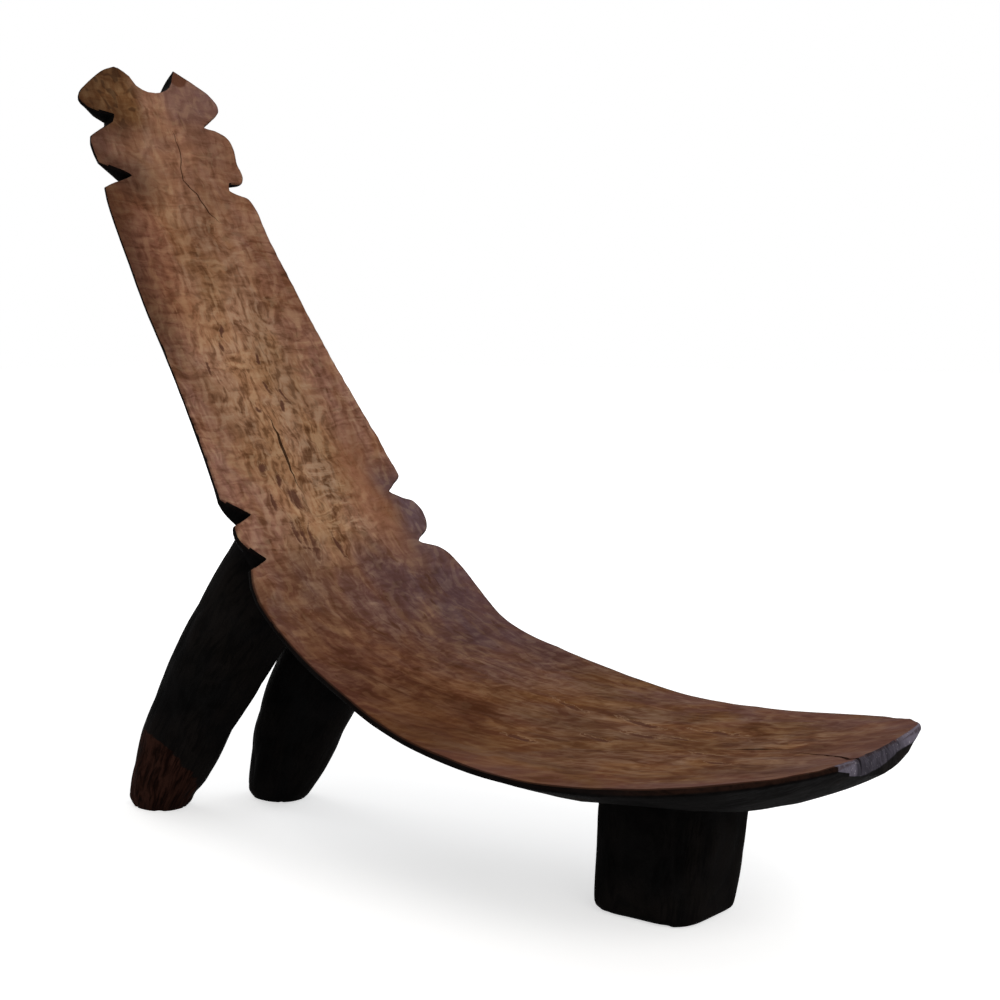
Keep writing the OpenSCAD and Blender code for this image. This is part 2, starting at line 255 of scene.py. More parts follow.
def smooth(low, high, value):
    share = np.clip((value - low) / (high - low), 0, 1)
    return share * share * (3 - 2 * share)


def points_of(piece):
    points = np.empty(len(piece.data.vertices) * 3)
    piece.data.vertices.foreach_get("co", points)
    return points.reshape(-1, 3)


def set_points(piece, points):
    piece.data.vertices.foreach_set("co", np.ascontiguousarray(points).ravel())
    piece.data.update()


def pick(*pieces):
    """Selects these pieces and no others, and makes the first one active."""
    bpy.ops.object.select_all(action="DESELECT")
    for piece in pieces:
        piece.select_set(True)
    bpy.context.view_layer.objects.active = pieces[0]


def edit(piece):
    """Edit mode on one piece alone, with nothing in it selected."""
    pick(piece)
    bpy.ops.object.mode_set(mode="EDIT")
    bpy.ops.mesh.select_mode(type="VERT")
    bpy.ops.mesh.select_all(action="DESELECT")


def choose(piece, kind, chosen):
    """Selects vertices, edges or polygons in edit mode by an array of true and false."""
    bpy.ops.mesh.select_mode(type={"vertices": "VERT", "edges": "EDGE", "polygons": "FACE"}[kind])
    bpy.ops.mesh.select_all(action="DESELECT")
    bpy.ops.object.mode_set(mode="OBJECT")
    getattr(piece.data, kind).foreach_set("select", chosen)
    bpy.ops.object.mode_set(mode="EDIT")


def cut_across(piece, levels):
    """Cuts the edges of a unit block or post that run straight up into that many levels."""
    if levels > 1:
        ends = np.empty(len(piece.data.edges) * 2, int)
        piece.data.edges.foreach_get("vertices", ends)
        span = np.ptp(points_of(piece)[ends.reshape(-1, 2)], axis=1)
        rising = (span[:, 2] > 0.5) & (span[:, :2].max(axis=1) < 1e-6)
        edit(piece)
        choose(piece, "edges", rising)
        bpy.ops.mesh.subdivide(number_cuts=levels - 1)
        bpy.ops.object.mode_set(mode="OBJECT")


def slab(name, across, along, down):
    """A closed block, -1 to 1 across and along and 0 to -1 down, cut into that many faces each way."""
    bpy.ops.object.select_all(action="DESELECT")
    bpy.ops.mesh.primitive_grid_add(x_subdivisions=across, y_subdivisions=along, size=2)
    block = bpy.context.object
    block.name = block.data.name = name
    edit(block)
    bpy.ops.mesh.select_all(action="SELECT")
    bpy.ops.mesh.extrude_region_move(TRANSFORM_OT_translate={"value": (0, 0, -1)})
    bpy.ops.object.mode_set(mode="OBJECT")
    cut_across(block, down)
    face_out(block)
    return block


def post(name, sides, up):
    """A closed round post of radius 1 from 0 to 1, cut into rings."""
    bpy.ops.object.select_all(action="DESELECT")
    bpy.ops.mesh.primitive_cylinder_add(vertices=sides, radius=1, depth=1, location=(0, 0, 0))
    piece = bpy.context.object
    piece.name = piece.data.name = name
    edit(piece)
    bpy.ops.mesh.select_all(action="SELECT")
    bpy.ops.transform.translate(value=(0, 0, 0.5))
    bpy.ops.object.mode_set(mode="OBJECT")
    cut_across(piece, up)
    return piece


def face_out(piece):
    edit(piece)
    bpy.ops.mesh.select_all(action="SELECT")
    bpy.ops.mesh.normals_make_consistent(inside=False)
    bpy.ops.object.mode_set(mode="OBJECT")


def boolean(piece, cutter, operation):
    modifier = piece.modifiers.new("Cut", "BOOLEAN")
    modifier.operation = operation
    modifier.solver = "EXACT"
    modifier.object = cutter
    pick(piece)
    bpy.ops.object.modifier_apply(modifier=modifier.name)
    bpy.data.objects.remove(cutter)


def joined(pieces):
    pick(*pieces)
    bpy.ops.object.join()
    return pieces[0]


# The board

# The carved edges of the board in millimetres, from the front end to the horns: place and x on the
# sitter's right, place and x on the left, and the kinds of those two points: r rounded, c corner,
# and R or C for those inside a notch.
EDGE_POINTS = [
    (-14, -88, 10, 90, "cc"), (-2, -107, 16, 108, "rr"), (12, -121, 27, 124, "rr"), (30, -135, 44, 141, "rr"),
    (65, -151, 70, 160, "rr"), (104, -164, 100, 173, "rr"), (148, -173, 145, 178, "rr"),
    (201, -176, 198, 178, "rr"), (258, -172, 255, 175, "rr"), (303, -168, 303, 171, "rr"),
    (344, -165, 345, 169, "rr"), (390, -159, 390, 162, "rr"), (434, -151, 430, 150, "rr"),
    (486, -146, 468, 140, "rr"), (515, -144, 492, 137, "rr"), (540, -143, 515, 140, "rr"),
    (565, -141, 545, 145, "rr"), (584, -136, 575, 143, "rr"), (592, -132, 588, 137.5, "rr"),
    (598, -129, 595, 129.5, "cr"), (603, -116, 599.5, 119, "RR"), (607, -105, 604.5, 107, "CC"),
    (613, -111.8, 609.5, 115, "RR"), (622, -122, 615, 124.5, "cr"), (628, -124.8, 622, 130.3, "rr"),
    (634, -125.5, 633.5, 133.5, "rr"), (640, -124.3, 644, 132, "rr"), (645, -122, 651.5, 127, "cr"),
    (650, -109.8, 657.5, 115, "RR"), (655, -97, 664.5, 102, "CC"), (664, -111, 673, 115, "RR"),
    (673, -125, 681, 126, "cr"), (690, -121.5, 696, 125.3, "rr"), (724, -117, 725, 123, "rr"),
    (782, -112, 774, 117, "rr"), (838, -110, 838, 109, "rr"), (893, -110, 893, 103, "rr"),
    (946, -108, 946, 97, "rr"), (985, -107, 983, 93, "rr"), (1008, -105.5, 1008, 92, "rr"),
    (1021.5, -103, 1020.5, 86, "cr"), (1027, -92, 1024.5, 77, "RR"), (1032.6, -77, 1027, 70, "RR"),
    (1038, -64, 1029.3, 65.5, "CC"), (1040.8, -72, 1037.6, 68.5, "RC"), (1045.1, -88, 1039, 85.5, "Rr"),
    (1048.7, -100, 1044, 88.8, "cr"), (1059.9, -101.5, 1062, 88.5, "rr"), (1071.2, -101.3, 1078, 90, "rr"),
    (1079.5, -98, 1088, 89.3, "cr"), (1090.9, -80.5, 1096, 84, "Rr"), (1099.5, -65, 1101.5, 73.5, "Cr"),
    (1107.5, -59.5, 1105.3, 61, "CC"), (1109.8, -77, 1114, 74, "RR"), (1112.3, -91.5, 1121, 83.5, "cr"),
    (1117, -96, 1126, 88, "rr"), (1122, -97.5, 1131, 89.3, "rr"), (1130.5, -93.5, 1138, 87.2, "rr"),
    (1138.8, -84, 1145.2, 82.4, "rr"), (1149.8, -68.8, 1156, 68, "rr"), (1160.5, -52, 1165.8, 51, "rr"),
    (1165.5, -39, 1170.8, 42, "cc"),
]
# The cleft between the horns, in the same way, from its bottom up past the tips
CLEFT_POINTS = [
    (1141, -1, 1141, 9), (1143, -8, 1143, 18), (1147, -14.5, 1146, 25), (1152, -17.5, 1150, 31),
    (1157, -20.5, 1157, 36), (1161, -27, 1163, 39), (1163.5, -35, 1169, 42), (1166, -43, 1175, 45),
    (1182, -70, 1190, 50),
]
# Open cracks as (x, place, half width) in millimetres, each with its depth
CRACKS = [
    ([(-13, 764, 0.3), (-12, 751, 0.9), (-12, 740, 1.5), (-13.5, 727, 2.1), (-14.2, 718, 2.1),
      (-15, 706, 1.6), (-16.5, 693, 0.8), (-17.6, 679, 0.3)], 12),
    ([(13.4, 1097, 0.3), (14, 1080, 0.8), (12.8, 1066, 0.9), (7.5, 1052, 0.7), (4.6, 1038, 0.8),
      (10, 1029, 1.1), (16.5, 1022, 1.3), (19.5, 1010, 1.3), (23, 1000, 1.1), (34, 989, 0.4)], 4),
    ([(12, 152, 0.4), (15, 137, 1.2), (17, 127, 3.6), (19, 113, 3.3), (20, 104, 1.2), (21, 86, 0.4)], 9),
    ([(9, 84, 0.5), (3, 64, 1.2), (-8, 44, 1.5), (-18, 28, 1.8), (-33, 12, 2.2), (-43, 2, 2.5),
      (-47, -16, 2.6)], 17),
]
# Shallow scars as (x, place, half width, half length, depth, slant) in millimetres
SCARS = [
    (-27, 667, 8.0, 14, 1.8, -0.25), (-48, 631, 3.6, 15, 2.0, 0.0), (-32, 621, 4.2, 21, 2.6, 0.25),
    (-41, 627, 2.6, 15, 1.6, 0.1), (-38, 690, 3.6, 8, 1.2, 0.3), (-52, 704, 5.0, 8, 1.1, 0.6),
    (-3, 612, 2.8, 15, 1.2, -0.1), (-58, 668, 3.0, 10, 1.0, 0.2),
    (22, 238, 4.0, 18, 1.4, 0.05), (33, 205, 3.6, 16, 1.3, 0.0), (-12, 262, 3.6, 16, 1.2, 0.1),
    (58, 262, 4.0, 20, 1.3, 0.1), (-66, 300, 4.0, 17, 1.2, -0.1), (70, 190, 3.6, 22, 1.2, 0.0),
    (-10, 150, 3.0, 14, 1.0, 0.0), (-40, 120, 3.0, 12, 1.0, 0.1), (45, 330, 4.0, 15, 1.0, 0.1),
    (-34, 843, 2.6, 6, 0.9, 0.2), (-24, 860, 2.6, 7, 0.8, 0.4), (8, 829, 2.4, 8, 0.9, 0.2),
    (3, 793, 2.6, 9, 1.0, -0.2), (21, 785, 2.4, 9, 0.9, -0.3), (13, 774, 2.6, 8, 1.0, 0.3),
    (-62, 819, 2.4, 11, 0.8, 0.2), (-22, 769, 3.6, 3, 0.9, 0.8),
]
# Patch without soot on the right rear leg: its middle, its reach and how ragged its border is, in metres
BARE_PLACE = (-0.0906, 0.3315, 0.026)
BARE_REACH = 0.060
BARE_RAGGED = 0.006
# What a place's distance from a scar counts as at most, in scar widths
FAR_OFF = 9.0
# Shares of the way down the board's side at which its rows of points lie
LEVELS = [0, 0.2, 0.5, 0.8, 1]
# Limits of the board's surfaces as heights above the top line: rubbed top, walls in it, underside
TOP_DOWN_TO, WALLS_DOWN_TO, UNDERSIDE_AT = -0.0095, -0.0085, -0.012
# Limits along and across it: end of the front end's edge, start of the horns' tips, x of the right corner
FRONT_END_TO, HORN_TIPS_AT, FRONT_CORNER_X = 0.026, 1.125, -0.0885


class Rows:
    """The rows of faces across the board: where each one starts and ends, and the uncarved width there."""

    def __init__(self, pitch):
        near = np.array([(s, x) for s, x, _, _, _ in EDGE_POINTS], float) * MM
        far = np.array([(s, x) for _, _, s, x, _ in EDGE_POINTS], float) * MM
        steps = np.maximum(*(np.linalg.norm(np.diff(side, axis=0), axis=1) for side in (near, far)))
        counts = np.maximum(1, np.ceil(steps / pitch).astype(int))
        self.near, self.uncut_near = self.follow(near, [kinds[0] for *_, kinds in EDGE_POINTS], counts)
        self.far, self.uncut_far = self.follow(far, [kinds[1] for *_, kinds in EDGE_POINTS], counts)
        self.count = len(self.near)
        self.near_out = self.outward(self.near, -1)
        self.far_out = self.outward(self.far, 1)

    @staticmethod
    def follow(points, kinds, counts):
        """A smooth line through the rounded points, straight into the corners, and its uncut width."""
        steps = np.linalg.norm(np.diff(points, axis=0), axis=1)
        slopes = np.diff(points, axis=0) / steps[:, None]
        line = []
        for i, count in enumerate(counts):
            first, last = slopes[i], slopes[i]
            if kinds[i] in "rR" and i:
                first = (slopes[i - 1] * steps[i] + slopes[i] * steps[i - 1]) / (steps[i - 1] + steps[i])
            if kinds[i + 1] in "rR":
                last = (slopes[i] * steps[i + 1] + slopes[i + 1] * steps[i]) / (steps[i] + steps[i + 1])
            for t in np.arange(count) / count:
                line.append(
                    points[i] * (2 * t ** 3 - 3 * t ** 2 + 1) + points[i + 1] * (3 * t ** 2 - 2 * t ** 3)
                    + steps[i] * (first * (t ** 3 - 2 * t ** 2 + t) + last * (t ** 3 - t ** 2)))
        line = np.array(line + [points[-1]])
        whole = [i for i, kind in enumerate(kinds) if kind.islower()]
        return line, np.interp(line[:, 0], points[whole, 0], np.abs(points[whole, 1]))

    @staticmethod
    def outward(edge, side):
        along = np.gradient(edge, axis=0)
        out = np.stack([-along[:, 1], along[:, 0]], -1) * side
        return out / np.linalg.norm(out, axis=1)[:, None]


def middle_thickness(place):
    """Thickness of the board along its middle, rising from the front end and falling to the back's."""
    board = bpy.context.scene.chair_board
    bend_at = line_parts()[2][0]
    front = board.front_t + (board.seat_t - board.front_t) * np.sin(math.pi / 2 * place / board.bow)
    share = np.clip((place - board.bow) / (bend_at - board.bow), 0, 1)
    rear = board.seat_t - (board.seat_t - board.back_t) * np.sin(math.pi / 2 * share) ** 2
    return np.where(place < board.bow, front, rear)


def flat(x, place):
    return np.stack([x, place, np.zeros_like(x)], -1)


def top_relief(x, place):
    """Height of the worn tool marks on the top face: crosswise on the back, lengthwise on the seat."""
    cross_stroke, cross_deep, long_stroke, long_deep = (0.042, 0.011), 0.0013, (0.020, 0.075), 0.0012
    spot = flat(x, place)
    back = smooth(0.56, 0.68, place)
    bent = x + 0.01 * lumps(spot, 0.08, 3)
    across = scoops(bent, place + 0.006 * lumps(spot, 0.05, 4), *cross_stroke, 5)
    along = scoops(bent, place, *long_stroke, 6)
    height = cross_deep * back * (across - 0.5) + long_deep * (1 - back) * (along - 0.5)
    height += 0.0009 * lumps(spot, (0.05, 0.11, 1), 7) + 0.00035 * lumps(spot, (0.009, 0.035, 1), 8)
    height += 0.00025 * lumps(spot, (0.014, 0.007, 1), 9) * back
    for mid_x, mid_place, wide, long, deep, slant in SCARS:
        run = (place - mid_place * MM) / (long * MM)
        aside = (x - mid_x * MM - slant * run * long * MM) / (wide * MM)
        height -= deep * MM * np.exp(-run ** 4 - aside ** 4)
    return height


def under_relief(x, place):
    """Height of the tool marks on the underside."""
    stroke, stroke_deep, lump_deep = (0.034, 0.058), 0.0022, 0.0012
    spot = flat(x, place)
    bent = x + 0.006 * lumps(spot, 0.06, 13)
    return stroke_deep * (scoops(bent, place, *stroke, 14) - 0.4) + lump_deep * lumps(spot, 0.07, 15)


def from_side_to_side(near, far, share):
    return near + (far - near) * share


def board_shape(unit, rows):
    """Carries the unit block's points onto the board."""
    board = bpy.context.scene.chair_board
    i = np.rint((unit[:, 1] + 1) / 2 * (rows.count - 1)).astype(int)
    depth = -unit[:, 2]
    column = unit[:, 0] * (1.1 - 0.1 * unit[:, 0] ** 2)  # closer together near the edges
    is_far = column > 0
    inset = board.arris * np.interp(depth, LEVELS, [1, 0.3, 0, 0.25, 0.8])
    inset -= 0.0005 * lumps(np.stack([unit[:, 0] * 0.1, rows.near[i, 0], depth * 0.01], -1), 0.012, 21)
    near = rows.near[i] - rows.near_out[i] * inset[:, None]
    far = rows.far[i] - rows.far_out[i] * inset[:, None]
    edge = np.where(is_far, far[:, 1], -near[:, 1])
    uncut = np.where(is_far, rows.uncut_far[i], rows.uncut_near[i])
    core = 0.55  # share of the half width inside which no notch bends the columns
    share = np.abs(column)
    bent = core * uncut + (edge - core * uncut) * (share - core) / (1 - core)
    x = np.where(share < core, share * uncut, bent) * np.where(is_far, 1, -1)
    across = (column + 1) / 2
    place = from_side_to_side(near[:, 0], far[:, 0], across)
    front = from_side_to_side(rows.near[0, 0], rows.far[0, 0], across)
    tip = from_side_to_side(rows.near[-1, 0], rows.far[-1, 0], across)
    reach = 4 * board.arris
    place = place + inset * (np.exp((front - place) / reach) - np.exp((place - tip) / reach))
    out = np.minimum(1, np.abs(x) / uncut)
    thick = middle_thickness(place)
    edge_t = board.edge_t + (board.seat_edge_t - board.edge_t) * (1 - smooth(0.58, 0.72, place))
    edge_t = np.minimum(edge_t, thick)
    waist = smooth(0.52, 0.59, place) * (1 - smooth(0.68, 0.80, place))
    fullness = board.fullness + (board.waist_fullness - board.fullness) * waist
    relief = top_relief(x, place) * (depth < 0.3) * (0.15 + 0.85 * smooth(0.0, 0.014, place - front))
    top = -board.dish * (1 - out ** 2) + relief
    under = -edge_t - (thick - edge_t) * (1 - out ** fullness)
    under = under - under_relief(x, place) * np.minimum(1, (1 - out) * 5) * (depth > 0.7)
    drop = np.interp(depth, LEVELS, [0, 0.16, 0.5, 0.84, 1])
    return on_board(x, place, top + (under - top) * drop)[0]


def facing_of(board):
    """How far each face looks up out of the top face, from 1 to -1, and its middle off the board."""
    normals, middles = np.empty((2, len(board.data.polygons) * 3))
    board.data.polygons.foreach_get("normal", normals)
    board.data.polygons.foreach_get("center", middles)
    middles = off_board(middles.reshape(-1, 3))
    slope = on_board(0, middles[:, 1], 0)[1]
    return normals[1::3] * -np.sin(slope) + normals[2::3] * np.cos(slope), middles


def crack_cutter(points, depth, index):
    """A wedge along a crack, open above the top face and narrow at its bottom."""
    across, steps = 2, 4 * len(points)
    cutter = slab(f"crack_{index}", across, steps, 2)
    unit = points_of(cutter)
    run = (unit[:, 1] + 1) / 2 * (len(points) - 1)
    order = np.arange(len(points))
    x, place, half = (np.interp(run, order, [p[k] for p in points]) * MM for k in range(3))
    wander = 0.0009 * lumps(flat(x, place), 0.007, 31 + index)
    at_bottom, at_surface = unit[:, 2] < -0.75, unit[:, 2] < -0.25
    x = x + wander + half * unit[:, 0] * np.where(at_bottom, 0.1, 1)
    above, surface = 0.004, -0.002
    reach = depth * MM * (0.25 + 0.75 * np.sin(math.pi * np.clip(run / (len(points) - 1), 0, 0.75)))
    height = np.where(at_bottom, surface - reach, np.where(at_surface, surface, above))
    set_points(cutter, on_board(x, place, height)[0])
    face_out(cutter)
    return cutter


def cleft_cutter():
    """The block that is cut out between the horns."""
    cutter = slab("cleft", 4, len(CLEFT_POINTS) - 1, 1)
    unit = points_of(cutter)
    i = np.rint((unit[:, 1] + 1) / 2 * (len(CLEFT_POINTS) - 1)).astype(int)
    table = np.array(CLEFT_POINTS) * MM
    share = (unit[:, 0] + 1) / 2
    place = table[i, 0] * (1 - share) + table[i, 2] * share
    x = table[i, 1] * (1 - share) + table[i, 3] * share
    height = np.where(unit[:, 2] < 0, -0.06, 0.02)
    set_points(cutter, on_board(x, place, height)[0])
    return cutter


# The legs

# Places of the three legs, and the front leg's own sizes
LEGS = {
    "front_leg": {"top_at": 0.190383, "top_w": 0.094, "top_d": 0.112, "mid_w": 0.096, "mid_d": 0.106,
                  "foot_w": 0.098, "foot_d": 0.100, "bow": 0.0, "squareness": 4.2},
    "rear_leg_right": {"top_at": 0.624, "top_x": -0.046},
    "rear_leg_left": {"top_at": 0.580, "top_x": 0.046},
}
# Wear of a foot: shares of the leg's height, and the share of the section that is left there
FOOT_WEAR = ([0, 0.015, 0.04, 0.075, 0.12], [0.87, 0.935, 0.975, 0.995, 1])


def leg_sizes(scene):
    """The property groups of the three legs, by name."""
    return {name: getattr(scene, "chair_" + name) for name in LEGS}


def section(leg, size, turn_angle):
    """Points across and along a leg's rounded section, by their angle round it."""
    power = 2 / leg.squareness
    across, along = np.cos(turn_angle), np.sin(turn_angle)
    return (size[0] / 2 * np.sign(across) * np.abs(across) ** power,
            size[1] / 2 * np.sign(along) * np.abs(along) ** power)


def pad_height(leg):
    """Height of a pad's face, counted from the top line."""
    return -float(middle_thickness(np.array(leg.top_at))) - bpy.context.scene.chair_board.pad_h


def leg_shape(leg, foot, turn_angle, rise):
    """Points of a leg's surface: round it by an angle, and a share of the way up."""
    foot_x, foot_y = section(leg, (leg.foot_w, leg.foot_d), turn_angle)
    middle_x, middle_y = section(leg, (leg.mid_w, leg.mid_d), turn_angle)
    top_x, top_along = section(leg, (leg.top_w, leg.top_d), turn_angle)
    top_centre, slope = on_board(leg.top_x, leg.top_at, pad_height(leg))
    top = np.stack([top_centre[0] + top_x, top_centre[1] + top_along * math.cos(slope),
                    top_centre[2] + top_along * math.sin(slope)], -1)
    middle = np.stack([(top_centre[0] + foot[0]) / 2 + middle_x,
                       (top_centre[1] + foot[1]) / 2 + leg.bow + middle_y,
                       np.full_like(middle_x, top_centre[2] / 2)], -1)
    bottom = np.stack([foot[0] + foot_x, foot[1] + foot_y, np.zeros_like(foot_x)], -1)
    u = rise[:, None]
    return bottom * (1 - u) * (1 - 2 * u) + middle * 4 * u * (1 - u) + top * u * (2 * u - 1)


def leg_centre(leg, foot, rise):
    """Points of a leg's axis at shares of the way up."""
    start = leg_shape(leg, foot, np.zeros_like(rise), rise)
    end = leg_shape(leg, foot, np.full_like(rise, math.pi), rise)
    return (start + end) / 2


def on_pad(leg, across, along, up):
    """Points across, along and up from the middle of a leg's pad, square to the board."""
    centre, slope = on_board(leg.top_x, leg.top_at, pad_height(leg))
    return np.stack([centre[0] + across, centre[1] + along * math.cos(slope) - up * math.sin(slope),
                     centre[2] + along * math.sin(slope) + up * math.cos(slope)], -1)


def leg_relief(wrapped, around, height, rise, seed):
    """How far a leg's tool strokes, lumps and chipped foot stand in from its plain surface."""
    stroke, stroke_deep, chip_deep = (0.026, 0.052), 0.0030, 0.012
    bent = around + 0.004 * lumps(wrapped, 0.04, seed)
    relief = stroke_deep * (scoops(bent, height, *stroke, seed + 1) - 0.45)
    lump, small_lump, chip = 0.05, (0.012, 0.012, 0.04), (0.018, 0.018, 0.022)
    relief += 0.0018 * lumps(wrapped, lump, seed + 2) + 0.0005 * lumps(wrapped, small_lump, seed + 3)
    chips = np.clip(lumps(wrapped, chip, seed + 4) - 0.25, 0, 1) * (1 - smooth(0, 0.10, rise))
    return -relief * (1 - smooth(0.90, 0.99, rise)) * smooth(0, 0.05, rise) - chip_deep * chips


def carve_leg(name, leg, joint, seed):
    """One leg with its stub tenon, worn and chipped at the foot."""
    sides, rings = 112, 96
    piece = post(name + "_carved", sides, rings)
    unit = points_of(piece)
    foot = MOUNTS[name.replace("leg", "foot")]
    angle = np.arctan2(unit[:, 1], unit[:, 0])
    rise = unit[:, 2]
    rise = np.where(rise < 0.1, rise * rise * 10 * 0.6 + rise * 0.4, rise)  # rings closer near the foot
    surface = leg_shape(leg, foot, angle, rise)
    centre = leg_centre(leg, foot, rise)
    around = angle * (leg.mid_w + leg.mid_d) / 4
    height = rise * np.linalg.norm(leg_centre(leg, foot, np.ones(1)) - leg_centre(leg, foot, np.zeros(1)))
    wrapped = np.stack([np.cos(angle) * 0.05, np.sin(angle) * 0.05, height], -1)
    relief = leg_relief(wrapped, around, height, rise, seed)
    out = surface - centre
    size = np.interp(rise, *FOOT_WEAR)
    surface = centre + out * (size + relief / np.linalg.norm(out, axis=1))[:, None]
    surface[:, 2] = np.where(rise > 0, np.maximum(surface[:, 2], 0.0004), 0)
    set_points(piece, surface)
    keep_value(piece, "crest", 0.35 * smooth(-0.5, 1.8, relief / MM))
    keep_lay(piece, wrapped[:, [0, 2, 1]])
    boolean(piece, stub(leg, joint.mortise_d / 2 - joint.gap, joint.mortise_depth - joint.end_gap), "UNION")
    return piece


def stub(leg, radius, deep):
    """A round stub square to the board, from just below a leg's top face to a depth in the board."""
    below = 0.002
    piece = post("stub", 64, 1)
    unit = points_of(piece)
    across, along, up = (unit * (radius, radius, deep + below)).T
    set_points(piece, on_pad(leg, across, along, up - below))
    return piece


def pad(leg, board, seed):
    """The raised seat under the board for a leg, which flares into the board."""
    sides, rings = 112, 10
    flare_share, flare_power, uneven_share = 0.20, 1.6, 0.008
    piece = post("pad", sides, rings)
    unit = points_of(piece)
    angle = np.arctan2(unit[:, 1], unit[:, 0])
    rise = -pad_height(leg) - board.pad_cover
    uneven = lumps(np.stack([np.cos(angle), np.sin(angle), unit[:, 2]], -1), 0.4, seed)
    flare = 1 + flare_share * unit[:, 2] ** flare_power
    flare = flare + uneven_share * uneven * np.minimum(1, unit[:, 2] * 4)
    across, along = section(leg, (leg.top_w, leg.top_d), angle)
    set_points(piece, on_pad(leg, across * flare, along * flare, unit[:, 2] * rise))
    return piece


# Finishes

class Finish:
    """Builds the nodes of one material."""

    def __init__(self, name):
        self.material = bpy.data.materials.new(name)
        self.material.use_nodes = True
        self.tree = self.material.node_tree
        self.shader = next(node for node in self.tree.nodes if node.type == "BSDF_PRINCIPLED")

    def set(self, socket, value):
        if isinstance(value, bpy.types.NodeSocket):
            self.tree.links.new(value, socket)
        elif socket.type == "RGBA" and len(value) == 3:
            socket.default_value = (*value, 1)
        else:
            socket.default_value = value

    def node(self, kind, inputs, output=0, **settings):
        node = self.tree.nodes.new(kind)
        for name, value in settings.items():
            setattr(node, name, value)
        for key, value in inputs.items():
            self.set(node.inputs[key], value)
        return node.outputs[output]

    def attribute(self, name, output="Vector"):
        return self.node("ShaderNodeAttribute", {}, output, attribute_name=name)

    def maths(self, operation, a, b=0.0, clamp=False):
        return self.node("ShaderNodeMath", {0: a, 1: b}, operation=operation, use_clamp=clamp)

    def scaled(self, vector, scale, shift=(0.0, 0.0, 0.0)):
        return self.node("ShaderNodeMapping", {"Vector": vector, "Scale": scale, "Location": shift})

    def noise(self, vector, scale, detail=3.0, rough=0.55, twist=0.0):
        return self.node("ShaderNodeTexNoise", {
            "Vector": vector, "Scale": scale, "Detail": detail, "Roughness": rough, "Distortion": twist})

    def grain(self, vector, scale, shift, detail, rough, twist):
        """Noise with a scale across and one along the board."""
        return self.noise(self.scaled(vector, (*scale, 1.0), (*shift, 0.0)), 1.0, detail, rough, twist)

    def between(self, value, low, high, first=0.0, last=1.0):
        return self.node("ShaderNodeMapRange", {
            "Value": value, "From Min": low, "From Max": high, "To Min": first, "To Max": last},
            interpolation_type="SMOOTHSTEP")

    def mix(self, first, second, share, blend="MIX"):
        return self.node("ShaderNodeMix", {0: share, 6: first, 7: second}, 2,
                         data_type="RGBA", blend_type=blend)

    def parts(self, vector):
        node = self.tree.nodes.new("ShaderNodeSeparateXYZ")
        self.set(node.inputs[0], vector)
        return node.outputs

    def grey(self, value):
        return self.node("ShaderNodeCombineColor", {0: value, 1: value, 2: value})

    def shaded(self, base, value, low, high, darkest, lightest):
        """A colour made darker and lighter by a value."""
        return self.mix(base, self.grey(self.between(value, low, high, darkest, lightest)), 1.0, "MULTIPLY")

    def coats(self, base, *coats):
        """Colours laid one over the other, each with its share."""
        for coat, share in coats:
            base = self.mix(base, coat, share)
        return base

    def level(self, first, second, share):
        """A value that goes from the first to the second."""
        return self.node("ShaderNodeMix", {0: share, 2: first, 3: second}, 0, data_type="FLOAT")

    def product(self, first, *others):
        for other in others:
            first = self.maths("MULTIPLY", first, other)
        return first

    def most(self, first, *others):
        for other in others:
            first = self.maths("MAXIMUM", first, other)
        return first

    def blend(self, *parts):
        """The sum of values, each times its weight."""
        total = 0.0
        for value, weight in parts:
            total = self.node("ShaderNodeMath", {0: value, 1: weight, 2: total}, operation="MULTIPLY_ADD")
        return total

    def zone(self, x, place, across, along):
        """1 inside a zone of the top face and 0 outside it, with soft borders."""
        return self.product(*(self.between(x, *limits) for limits in across),
                            *(self.between(place, *limits) for limits in along))

    def away(self, vector, place):
        return self.node("ShaderNodeVectorMath", {0: vector, 1: place}, "Value", operation="DISTANCE")

    def here(self):
        return self.node("ShaderNodeTexCoord", {}, "Object")

    def bent(self, vector, scale, reach):
        """A vector pushed about by smooth noise, by up to half the reach each way."""
        push = self.node("ShaderNodeTexNoise", {"Vector": vector, "Scale": scale, "Detail": 2.0}, "Color")
        push = self.node("ShaderNodeVectorMath", {0: push, 1: (0.5, 0.5, 0.5)}, operation="SUBTRACT")
        push = self.node("ShaderNodeVectorMath", {0: push, 3: reach}, operation="SCALE")
        return self.node("ShaderNodeVectorMath", {0: vector, 1: push}, operation="ADD")

    def pressed(self, vector, scale, reach, twist=1.2):
        """Noise less itself a little way off: above 0 on one flank of each lump and below 0 on the other."""
        first, second = (self.noise(self.scaled(vector, scale, shift), 1.0, 2.0, 0.5, twist)
                         for shift in ((0.0, 0.0, 0.0), reach))
        return self.maths("SUBTRACT", first, second)

    def scar(self, vector, distance, mid_x, mid_place, wide, long, slant):
        """The smaller of a distance and that from a slanted oval's middle, which is 1 on its border."""
        here = self.node("ShaderNodeMapping", {
            "Vector": vector, "Location": (mid_x * MM, mid_place * MM, 0),
            "Rotation": (0, 0, -math.atan(slant)), "Scale": (wide * MM, long * MM, 1)}, vector_type="TEXTURE")
        away = self.node("ShaderNodeVectorMath", {0: here}, "Value", operation="LENGTH")
        return self.maths("MINIMUM", distance, away)

    def ripple(self, height, strength, distance):
        return self.node("ShaderNodeBump", {"Height": height, "Strength": strength, "Distance": distance})

    def done(self, surface):
        """Sets the shader's sockets by name, and hands over the material."""
        for name, value in surface.items():
            self.set(self.shader.inputs[name], value)
        return self.material


